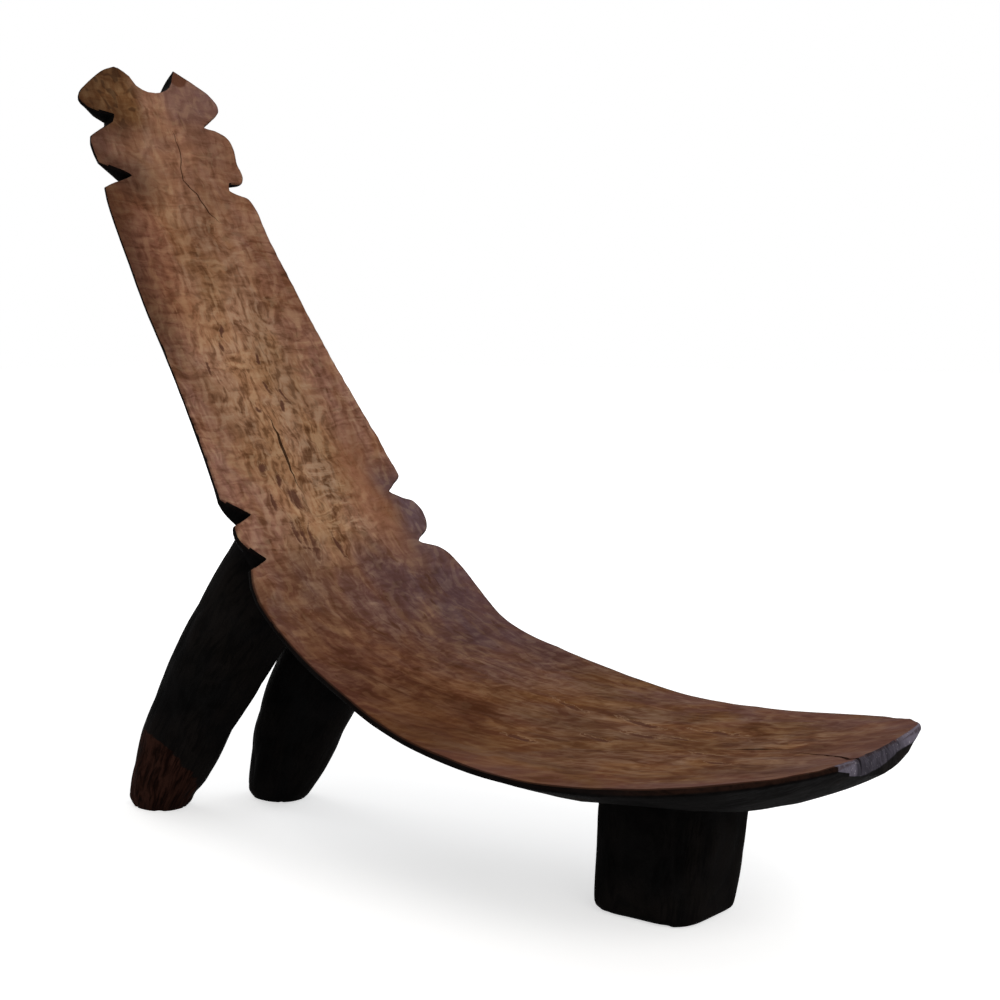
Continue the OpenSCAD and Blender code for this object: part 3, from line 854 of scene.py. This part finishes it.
# Zones of the top face: limits from nothing to full across the board, then along it, in metres
ZONES = {
    "crosswise": ([], [(0.20, 0.40)]),
    "bend": ([], [(0.34, 0.48), (0.64, 0.57)]),
    "filmed bend": ([], [(0.66, 0.58), (0.36, 0.48)]),
    "back": ([], [(0.550, 0.640)]),
    "upper back": ([], [(0.84, 0.98)]),
    "head": ([], [(0.97, 1.06)]),
    "near horn": ([(-0.005, -0.035)], [(1.08, 1.11)]),
    "far horn": ([(-0.005, 0.025)], [(1.085, 1.12)]),
    "far lobe": ([(0.075, 0.105)], [(0.72, 0.66), (0.550, 0.640)]),
    "red waist": ([(0.035, 0.075), (0.110, 0.085)], [(0.76, 0.70), (0.550, 0.640)]),
    "stroked waist": ([(-0.018, 0.004), (0.062, 0.036)], [(0.600, 0.625), (0.725, 0.695)]),
    "seat's rear": ([(0.030, -0.050)], [(0.28, 0.38), (0.55, 0.48)]),
    "near top": ([(-0.030, -0.070)], [(0.84, 0.92), (1.05, 1.01)]),
    "far top": ([(0.020, 0.060)], [(0.80, 0.90), (1.01, 0.97)]),
    "far bend": ([(0.030, 0.090)], [(0.40, 0.50), (0.66, 0.60)]),
}
# Grain of the top face as noise: scales across and along it, shifts, detail, roughness and twist
GRAINS = {
    "blotch": ((27.0, 16.0), (3.0, 8.0), 3.0, 0.58, 1.2),
    "patch": ((25.0, 24.0), (1.0, 6.0), 2.6, 0.56, 0.8),
    "tint": ((17.0, 12.0), (8.0, 3.0), 3.0, 0.60, 0.6),
    "fibre": ((95.0, 22.0), (0.0, 0.0), 2.0, 0.50, 0.9),
    "fine_fibre": ((230.0, 60.0), (1.0, 5.0), 3.0, 0.62, 0.9),
    "streak": ((75.0, 8.0), (6.0, 2.0), 4.0, 0.60, 0.5),
    "cross": ((26.0, 112.0), (7.0, 0.0), 4.0, 0.60, 0.8),
    "fine_cross": ((60.0, 270.0), (2.0, 4.0), 3.0, 0.60, 0.8),
    "curl": ((62.0, 40.0), (5.0, 3.0), 3.0, 0.55, 1.8),
    "tick": ((82.0, 34.0), (9.0, 2.0), 2.0, 0.50, 0.8),
}
# Worn surface in the middle of the far horn's tip, as x, place and height
TIP_CHIP = (0.045, 1.164, 0.0)


class WornTop:
    """Finish of the rubbed top face: fibres along the seat, crosswise marks and curls on the back."""

    def __init__(self, wood):
        self.wood = wood
        self.finish = finish = Finish("worn_wood")
        self.lay = finish.attribute("lay")
        self.rim = finish.attribute("rim", "Fac")
        self.wavy = self.along_the_grain()
        self.x, self.place, _ = finish.parts(finish.bent(self.lay, 12.0, 0.06))
        self.zone = {name: finish.zone(self.x, self.place, *limits) for name, limits in ZONES.items()}
        self.back = self.zone["back"]
        self.grain = {name: finish.grain(self.wavy, *sizes) for name, sizes in GRAINS.items()}
        self.broad = finish.grain(self.lay, (13.0, 7.5), (4.0, 1.0), 3.0, 0.6, 0.8)
        off_middle = finish.maths("ABSOLUTE", finish.maths("ADD", self.x, 0.006))
        self.middle = finish.between(off_middle, 0.100, 0.030)
        self.lines = self.grain_lines()
        on_seat = finish.between(self.x, -0.03, -0.13, 0.78, 0.40)
        self.contrast = finish.level(
            finish.level(0.98, on_seat, finish.between(self.place, 0.45, 0.35)),
            finish.level(1.0, 0.72, self.zone["head"]), self.back)

    def along_the_grain(self):
        """Places on the uncut wood, bent to and fro, and turned a little across the rear of the seat."""
        finish = self.finish
        x, place, height = finish.parts(finish.bent(finish.bent(self.lay, 16.0, 0.018), 60.0, 0.006))
        turned = finish.blend((x, 1.0), (finish.between(place, 0.16, 0.56), 0.12))
        return finish.node("ShaderNodeCombineXYZ", {0: turned, 1: place, 2: height})

    def mixed(self, **weights):
        return self.finish.blend(*((self.grain[name], weight) for name, weight in weights.items()))

    def grain_lines(self):
        """The grain that colour and height follow."""
        level = self.finish.level
        seat = self.mixed(fibre=0.17, streak=0.07, patch=0.48, curl=0.28)
        bend = self.mixed(fibre=0.08, fine_cross=0.06, cross=0.26, patch=0.34, curl=0.26)
        plain_back = self.mixed(cross=0.40, fine_cross=0.08, streak=0.34, blotch=0.18)
        curled_back = self.mixed(curl=0.44, cross=0.16, streak=0.22, blotch=0.18)
        curled = self.finish.product(self.middle, self.finish.between(self.place, 0.60, 0.92, 0.9, 0.15))
        return level(level(seat, bend, self.zone["crosswise"]),
                     level(plain_back, curled_back, curled), self.back)

    def ground(self):
        """The wood's own colours: rust to amber seat, brown to gold back, greyed edges, head and bend."""
        finish, wood, zone = self.finish, self.wood, self.zone
        seat = finish.mix(wood.rust, wood.amber, finish.between(
            self.mixed(blotch=0.50, patch=0.22, fibre=0.28), 0.36, 0.62))
        spine = finish.mix(wood.brown, wood.gold, finish.product(
            self.middle, finish.level(1.0, 0.35, zone["upper back"])))
        greyed = finish.product(finish.between(self.broad, 0.40, 0.58), finish.level(0.9, 0.2, self.middle))
        greyed = finish.most(greyed, finish.product(zone["head"], 0.45), zone["far horn"])
        return finish.coats(
            finish.mix(seat, spine, self.back),
            (wood.plum, finish.product(zone["bend"], finish.between(self.x, -0.10, 0.09, 0.35, 0.95))),
            (wood.rose, finish.product(greyed, self.back)),
            (wood.plum, finish.product(zone["far lobe"], 0.8)),
            (wood.amber, finish.product(zone["near horn"], 0.9)))

    def grained(self, base):
        """Light and dark grain, the bluish film of bend, front, far lobe and horn, and dull seat sides."""
        finish, wood, zone, between = self.finish, self.wood, self.zone, self.finish.between
        light = between(self.lines, finish.level(0.46, 0.475, self.back),
                        finish.level(0.68, 0.64, self.back), 0.0, 0.66)
        light = finish.product(light, finish.level(0.66, 0.9, self.back), self.contrast)
        dark = finish.product(self.contrast, between(self.lines, 0.52, 0.36, 0.0, 0.90))
        film = finish.most(
            finish.product(zone["filmed bend"], between(self.x, 0.00, 0.09, 0.05, 0.26)),
            between(self.place, 0.15, 0.02, 0.0, 0.15),
            finish.product(zone["far lobe"], 0.90), finish.product(zone["far horn"], 0.45))
        sides = finish.product(
            finish.most(between(self.x, 0.06, 0.14), between(self.x, -0.11, -0.15)),
            between(self.place, 0.60, 0.50, 0.0, 0.5), between(self.broad, 0.36, 0.56))
        return finish.coats(base, (wood.straw, light), (wood.umber, dark),
                            (wood.mauve, film), (wood.plum, sides))

    def tool_marked(self, base):
        """Painted highlight on one flank of each small tool mark and painted shade on the other, ticks, the
        near horn's spots and the waist's cross strokes.
        """
        finish, wood, zone, between = self.finish, self.wood, self.zone, self.finish.between
        pits = finish.pressed(self.wavy, (150.0, 55.0, 1.0), (0.25, -0.28, 0.0))
        coarse = finish.pressed(self.wavy, (62.0, 40.0, 1.0), (0.22, -0.25, 0.0))
        scaly = finish.product(self.middle, between(self.place, 0.60, 0.66),
                               between(self.place, 0.98, 0.84, 0.15, 1.0))
        # Flank is above 0 on the lit side of each tool mark and below 0 on its shaded side, and paints their
        # highlight and shade.
        flank = finish.level(coarse, finish.level(
            coarse, finish.blend((pits, 0.5), (coarse, 0.7)), scaly), self.back)
        strength = finish.product(
            self.contrast, finish.level(finish.level(0.20, 0.38, self.back), 0.80, scaly))
        spots = finish.grain(self.lay, (88.0, 70.0), (2.0, 7.0), 1.0, 0.5, 0.5)
        cross = self.grain["cross"]
        return finish.coats(
            base,
            # Painted shade (umber) on one flank of each tool mark and painted highlight (straw) on the other.
            (wood.umber, finish.product(strength, between(flank, 0.0, -0.17, 0.0, 0.75))),
            (wood.straw, finish.product(strength, between(flank, 0.0, 0.16, 0.0, 0.62))),
            (wood.umber, finish.product(between(self.grain["tick"], 0.36, 0.29, 0.0, 0.80),
                                        finish.level(0.65, 0.45, self.back))),
            (wood.dark, finish.product(zone["near horn"], between(spots, 0.48, 0.38, 0.0, 0.55))),
            (wood.brown, finish.product(zone["red waist"], 0.5)),
            (wood.umber, finish.product(zone["stroked waist"], between(cross, 0.47, 0.36, 0.0, 0.35))),
            (wood.straw, finish.product(zone["stroked waist"], between(cross, 0.52, 0.60, 0.0, 0.50))),
            (wood.rust, between(finish.away(self.lay, TIP_CHIP), 0.011, 0.014, 0.85, 0.0)))

    def toned(self, base):
        """Broad shade, the darker and redder zones, and a tint that wavers from cool to warm."""
        finish, zone = self.finish, self.zone
        base = finish.shaded(base, self.broad, 0.30, 0.70, 0.84, 1.16)
        for share, tone in ((finish.most(zone["near top"], zone["seat's rear"]), (0.80, 0.69, 0.61)),
                            (zone["far lobe"], (0.76, 0.84, 0.98)),
                            (zone["far bend"], (0.82, 0.85, 0.90)),
                            (zone["far top"], (0.86, 0.83, 0.85))):
            base = finish.mix(base, tone, share, "MULTIPLY")
        warm = finish.most(finish.between(self.grain["tint"], 0.40, 0.60), zone["near horn"])
        tint = finish.mix((0.90, 0.97, 1.14), (1.06, 1.00, 0.80), warm)
        share = finish.level(finish.level(0.60, 0.35, zone["seat's rear"]), 0.30, self.back)
        return finish.mix(base, tint, finish.most(share, zone["near horn"]), "MULTIPLY")

    def scarred(self, base):
        """The scars' dark hollows, each with a light lip and a ragged border."""
        finish, wood = self.finish, self.wood
        vector, distance = finish.bent(self.lay, 60.0, 0.006), FAR_OFF
        for mid_x, mid_place, wide, long, _, slant in SCARS:
            distance = finish.scar(vector, distance, mid_x, mid_place, wide, long, slant)
        distance = finish.maths("ADD", distance, finish.between(
            self.mixed(fine_fibre=0.5, cross=0.5), 0.35, 0.65, -0.35, 0.45))
        lip = finish.maths("ABSOLUTE", finish.maths("SUBTRACT", distance, 1.18))
        hollow = finish.mix(wood.umber, wood.plum, 0.35)
        return finish.coats(base, (wood.straw, finish.between(lip, 0.0, 0.16, 0.34, 0.0)),
                            (hollow, finish.between(distance, 0.45, 1.15, 0.90, 0.0)))

    def edge_shade_and_front_end(self, base):
        """Painted shade near the upper back's near edge, darker bands along the arrises and on the walls cut
        into the top face, a plum band at the front, and the ash-grey front end.
        """
        finish, wood, between = self.finish, self.wood, self.finish.between
        x, place, _ = finish.parts(finish.bent(self.lay, 60.0, 0.002))
        # Painted shade: darker within 55 mm of the edge on the near side of the upper back.
        near_edge_shade = finish.product(
            between(self.rim, 0.0, 0.055, 0.62, 0.0), between(self.x, -0.02, 0.06, 1.0, 0.1),
            between(self.place, 0.74, 0.88))
        # Darker in a thin band along the arrises and along the seat's rounded edge, and on the walls cut into
        # the top face.
        arris = finish.product(between(self.rim, 0.0, 0.0040, 0.70, 0.0),
                               between(self.grain["cross"], 0.35, 0.6, 1.0, 0.45))
        seat_arris = finish.product(
            between(self.rim, 0.0008, 0.0030, 0.92, 0.0), finish.level(1.0, 0.0, self.back))
        wall = finish.product(finish.attribute("wall", "Fac"), 0.70)
        ahead = finish.blend((place, 1.0), (x, -0.13))
        at_end = finish.product(between(self.rim, 0.0012, 0.0030, 0.9, 0.0), between(x, -0.0895, -0.0885),
                                between(place, 0.034, 0.026))
        return finish.coats(base, (wood.plum, between(ahead, 0.01, 0.09, 0.45, 0.0)),
                            (wood.dark, finish.most(arris, seat_arris, near_edge_shade, wall)),
                            (ashes(finish, wood, x), at_end))

    def material(self):
        base = self.edge_shade_and_front_end(self.scarred(self.toned(self.tool_marked(self.grained(self.ground())))))
        strength = self.finish.level(0.40, 1.0, self.finish.between(self.place, 0.30, 0.60))
        return self.finish.done({
            "Base Color": base, "Roughness": self.finish.between(self.lines, 0.3, 0.7, 0.80, 0.62),
            "Specular IOR Level": 0.006, "Normal": self.finish.ripple(self.lines, strength, 0.0055)})


def ashes(finish, wood, x):
    """Bared end grain of the front end: bluish in the middle, pale and speckled towards the far side."""
    here = finish.here()
    smudge = finish.noise(finish.scaled(here, (150.0, 150.0, 60.0)), 1.0, 3.0, 0.6, 0.6)
    speck = finish.noise(here, 420.0, 1.0)
    pale = finish.most(finish.between(x, 0.020, 0.085), finish.between(x, -0.050, -0.054, 0.0, 0.55))
    worn = finish.shaded(wood.ash, finish.blend((pale, 0.6), (smudge, 0.8)), 0.25, 1.05, 0.45, 2.2)
    flecks = finish.product(finish.between(speck, 0.66, 0.74), finish.level(0.15, 0.8, pale))
    return finish.mix(worn, (0.42, 0.40, 0.42), flecks)


def soot_wood(wood, name, bare=None):
    """Blackened wood of sides, underside and legs, with an ash-grey front end or a bare patch on a foot."""
    finish = Finish(name)
    lay = finish.attribute("lay")
    broad = finish.noise(finish.here(), 22.0, 4.0, 0.6, 0.5)
    drawn = finish.scaled(finish.bent(lay, 30.0, 0.01), (260.0, 34.0, 200.0))
    grain = finish.noise(drawn, 1.0, 4.0, 0.6, 0.6)
    base = finish.shaded(wood.soot, finish.blend((broad, 0.6), (grain, 0.4)), 0.35, 0.65, 0.55, 1.6)
    base = finish.mix(base, wood.smoke, finish.product(
        finish.attribute("crest", "Fac"), finish.between(grain, 0.35, 0.6, 0.3, 1.0)))
    if bare == "foot":
        away = finish.maths("ADD", finish.away(finish.here(), BARE_PLACE), finish.between(
            broad, 0.3, 0.7, -BARE_RAGGED, BARE_RAGGED))
        worn = finish.shaded(wood.bare, grain, 0.35, 0.65, 0.35, 1.9)
        base = finish.mix(base, worn, finish.between(away, BARE_REACH, BARE_REACH + 0.0025, 1.0, 0.0))
    if bare == "front":
        x, place, height = finish.parts(finish.bent(lay, 60.0, 0.002))
        low = finish.maths("ADD", height, finish.between(x, -0.02, 0.06, 0.0030, -0.0030))
        worn = finish.product(finish.attribute("front", "Fac"), finish.between(low, -0.0140, -0.0125), 0.95)
        skin = finish.product(
            finish.between(finish.parts(lay)[2], -0.0055, -0.0035),
            finish.between(place, 0.08, 0.16, 0.6, 0.12), finish.between(grain, 0.3, 0.6, 0.4, 1.0))
        base = finish.coats(base, (ashes(finish, wood, x), worn), (wood.dark, skin))
    return finish.done({"Base Color": base, "Roughness": finish.between(grain, 0.3, 0.7, 0.60, 0.80),
                        "Specular IOR Level": 0.004, "Normal": finish.ripple(grain, 0.6, 0.0016)})


def keep_lay(piece, lay):
    """Keeps where each point lies on the uncut wood, for the grain to follow."""
    layer = piece.data.attributes.new("lay", "FLOAT_VECTOR", "POINT")
    layer.data.foreach_set("vector", np.ascontiguousarray(lay, dtype=np.float32).ravel())


def keep_value(piece, name, values, domain="POINT"):
    layer = piece.data.attributes.new(name, "FLOAT", domain)
    layer.data.foreach_set("value", np.ascontiguousarray(values, dtype=np.float32))


def dress(piece, materials, angle, which=None):
    """Gives a piece its materials, face by face where asked, and smooth shading up to an angle."""
    piece.data.materials.clear()
    for material in materials:
        piece.data.materials.append(material)
    if which is not None:
        piece.data.polygons.foreach_set("material_index", which.astype(np.int32))
    pick(piece)
    bpy.ops.object.shade_smooth_by_angle(angle=math.radians(angle))


# The whole board

def carve_board(scene, rows):
    """The board with pads, cracks, cleft and mortises, and with fewer faces on its underside."""
    faces_down, share_kept = -0.75, 0.16
    board = slab("board_carved", scene.chair_board.columns, rows.count - 1, len(LEVELS))
    set_points(board, board_shape(points_of(board), rows))
    edit(board)
    choose(board, "polygons", facing_of(board)[0] < faces_down)
    bpy.ops.mesh.decimate(ratio=share_kept)
    bpy.ops.object.mode_set(mode="OBJECT")

    legs, joint = leg_sizes(scene).values(), scene.chair_joint
    boolean(board, joined([pad(leg, scene.chair_board, 41 + i) for i, leg in enumerate(legs)]), "UNION")
    cutters = [crack_cutter(points, depth, i) for i, (points, depth) in enumerate(CRACKS)]
    cutters.append(cleft_cutter())
    cutters += [stub(leg, joint.mortise_d / 2, joint.mortise_depth) for leg in legs]
    boolean(board, joined(cutters), "DIFFERENCE")
    return board


def nearest(points, line):
    """Distance of each point from the nearest point of a line, looked for a block at a time."""
    block = 4000
    found = np.empty(len(points))
    for start in range(0, len(points), block):
        part = points[start:start + block]
        found[start:start + block] = np.sqrt(((part[:, None, :] - line[None, :, :]) ** 2).sum(-1).min(1))
    return found


def keep_surface(board, rows):
    """Keeps what the finishes read from the board's points and faces, and tells the rubbed top's faces."""
    front_line = np.linspace(rows.near[0], rows.far[0], 120)
    edge = np.vstack([rows.near[::-1], front_line, rows.far])
    lay = off_board(points_of(board))
    keep_lay(board, lay)
    keep_value(board, "rim", nearest(lay[:, [1, 0]], edge))
    crest = smooth(-0.2, 1.6, under_relief(lay[:, 0], lay[:, 1]) / MM)
    keep_value(board, "crest", crest * (lay[:, 2] < UNDERSIDE_AT))

    facing, middles = facing_of(board)
    x, place, height = middles.T
    rim = nearest(middles[:, [1, 0]], edge)
    wall = (np.abs(facing) <= 0.5) & (rim > 0.006) & (height > WALLS_DOWN_TO) & (place < HORN_TIPS_AT)
    keep_value(board, "wall", wall, "FACE")
    at_front = (rim < 0.004) & (place < FRONT_END_TO) & (facing > -0.6) & (x > FRONT_CORNER_X)
    keep_value(board, "front", at_front, "FACE")
    return ((facing > 0.5) & (height > TOP_DOWN_TO)) | wall


# Operators

class CHAIR_OT_board(bpy.types.Operator):
    """Carve the board: seat, waist, back and horned head in one piece"""
    bl_idname = "chair.board"
    bl_label = "Board"

    def execute(self, context):
        wood = context.scene.chair_wood
        rows = Rows(context.scene.chair_board.pitch)
        board = carve_board(context.scene, rows)
        is_top = keep_surface(board, rows)
        dress(board, [WornTop(wood).material(), soot_wood(wood, "soot_board", "front")], 42, ~is_top)
        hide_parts("board")
        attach(board, "root")
        return {"FINISHED"}


class CHAIR_OT_legs(bpy.types.Operator):
    """Carve the block leg under the seat and the two raked club legs under the bend"""
    bl_idname = "chair.legs"
    bl_label = "Legs"

    def execute(self, context):
        scene = context.scene
        finishes = {"front_leg": soot_wood(scene.chair_wood, "soot_front_leg"),
                    "rear_leg_right": soot_wood(scene.chair_wood, "soot_right_leg", "foot"),
                    "rear_leg_left": soot_wood(scene.chair_wood, "soot_left_leg")}
        for index, (name, leg) in enumerate(leg_sizes(scene).items()):
            piece = carve_leg(name, leg, scene.chair_joint, 50 + 10 * index)
            dress(piece, [finishes[name]], 45)
            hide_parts(name)
            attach(piece, "root")
        return {"FINISHED"}


# Lamps: name, place, size, share of the key light's power, and tint
LAMPS = [("key", (-1.1, -2.4, 1.9), 1.6, 1.0, (1.0, 0.97, 0.93)),
         ("side", (1.8, -0.6, 1.6), 1.4, 0.25, (0.93, 0.96, 1.0)),
         ("back", (0.5, 2.6, 1.7), 1.6, 0.35, (1.0, 1.0, 1.0))]
LIT_PLACE = (0.0, 0.0, 0.3)


class CHAIR_OT_stage(bpy.types.Operator):
    """Set the pale floor, the soft light and the camera"""
    bl_idname = "chair.stage"
    bl_label = "Stage"

    def execute(self, context):
        scene = context.scene
        stage = scene.chair_stage
        bpy.ops.object.select_all(action="DESELECT")
        bpy.ops.mesh.primitive_plane_add(size=40)
        floor = context.object
        floor.name = "floor"
        floor.data.materials.append(floor_finish())

        camera = bpy.data.cameras.new("camera")
        camera.lens = stage.focal
        camera.sensor_width = 36
        holder = bpy.data.objects.new("camera", camera)
        scene.collection.objects.link(holder)
        holder.location = (FRONT_FOOT[0] + stage.camera_x, FRONT_FOOT[1] + stage.camera_y, stage.camera_z)
        holder.rotation_euler = (math.pi / 2 - stage.camera_dip, 0, stage.camera_turn)
        scene.camera = holder

        for name, place, size, share, tint in LAMPS:
            self.lamp(name, place, size, stage.key * share, tint)
        scene.world = sky(stage.fill)
        scene.view_settings.view_transform = "Standard"
        return {"FINISHED"}

    def lamp(self, name, place, size, power, tint):
        """A square lamp that faces the chair."""
        light = bpy.data.lights.new(name, "AREA")
        light.energy = power
        light.size = size
        light.color = tint
        lamp = bpy.data.objects.new(name, light)
        bpy.context.scene.collection.objects.link(lamp)
        forward = np.array(LIT_PLACE) - np.array(place)
        forward /= np.linalg.norm(forward)
        right = np.cross(forward, (0, 0, 1))
        right /= np.linalg.norm(right)
        up = np.cross(right, forward)
        turned = Matrix([[right[k], up[k], -forward[k]] for k in range(3)]).to_4x4()
        turned.translation = place
        lamp.matrix_world = turned


def seen_directly(tree):
    """1 for rays from the camera, and for those that it sees in gloss and glass."""
    path = tree.nodes.new("ShaderNodeLightPath")
    total = path.outputs["Is Camera Ray"]
    for other in ("Is Glossy Ray", "Is Transmission Ray"):
        add = tree.nodes.new("ShaderNodeMath")
        add.operation = "MAXIMUM"
        tree.links.new(total, add.inputs[0])
        tree.links.new(path.outputs[other], add.inputs[1])
        total = add.outputs[0]
    return total


def floor_finish():
    """White floor that keeps the shadow, and glows where the camera sees it, the more the farther off."""
    finish = Finish("floor")
    away = finish.away(finish.here(), (0.0, 0.0, 0.0))
    glow = finish.product(seen_directly(finish.tree), finish.between(away, 0.7, 2.4, 0.60, 1.0))
    return finish.done({"Base Color": (0.82, 0.82, 0.82), "Roughness": 0.9, "Specular IOR Level": 0.0,
                        "Emission Color": (1.0, 1.0, 1.0), "Emission Strength": glow})


def sky(strength):
    """Even pale light all round, white where the camera sees it."""
    world = bpy.data.worlds.new("sky")
    world.use_nodes = True
    tree = world.node_tree
    background = next(node for node in tree.nodes if node.type == "BACKGROUND")
    background.inputs["Color"].default_value = (1, 1, 1, 1)
    mix = tree.nodes.new("ShaderNodeMapRange")
    tree.links.new(seen_directly(tree), mix.inputs["Value"])
    mix.inputs["To Min"].default_value = strength
    mix.inputs["To Max"].default_value = 1.0
    tree.links.new(mix.outputs[0], background.inputs["Strength"])
    return world


class CHAIR_PT_panel(bpy.types.Panel):
    """Buttons and sizes of the chair"""
    bl_idname = "CHAIR_PT_panel"
    bl_label = "Chair"
    bl_space_type = "VIEW_3D"
    bl_region_type = "UI"
    bl_category = "Chair"

    def draw(self, context):
        for operator in ("chair.board", "chair.legs", "chair.stage"):
            self.layout.operator(operator)
        for name in GROUPS:
            box = self.layout.box()
            box.label(text=name.replace("_", " "))
            for key in getattr(context.scene, name).bl_rna.properties.keys():
                if key not in ("rna_type", "name"):
                    box.prop(getattr(context.scene, name), key)


GROUPS = {
    "chair_line": ChairLine,
    "chair_board": ChairBoard,
    "chair_front_leg": ChairLeg,
    "chair_rear_leg_right": ChairLeg,
    "chair_rear_leg_left": ChairLeg,
    "chair_joint": ChairJoint,
    "chair_wood": ChairWood,
    "chair_stage": ChairStage,
}
CLASSES = (ChairLine, ChairBoard, ChairLeg, ChairJoint, ChairWood, ChairStage,
           CHAIR_OT_board, CHAIR_OT_legs, CHAIR_OT_stage, CHAIR_PT_panel)


def register():
    for cls in CLASSES:
        bpy.utils.register_class(cls)
    for name, group in GROUPS.items():
        setattr(bpy.types.Scene, name, PointerProperty(type=group))


def unregister():
    for name in GROUPS:
        delattr(bpy.types.Scene, name)
    for cls in reversed(CLASSES):
        bpy.utils.unregister_class(cls)


def main():
    register()
    for name, leg in leg_sizes(bpy.context.scene).items():
        for size, value in LEGS[name].items():
            setattr(leg, size, value)
    bpy.ops.chair.board()
    bpy.ops.chair.legs()
    bpy.ops.chair.stage()


if __name__ == "__main__":
    main()
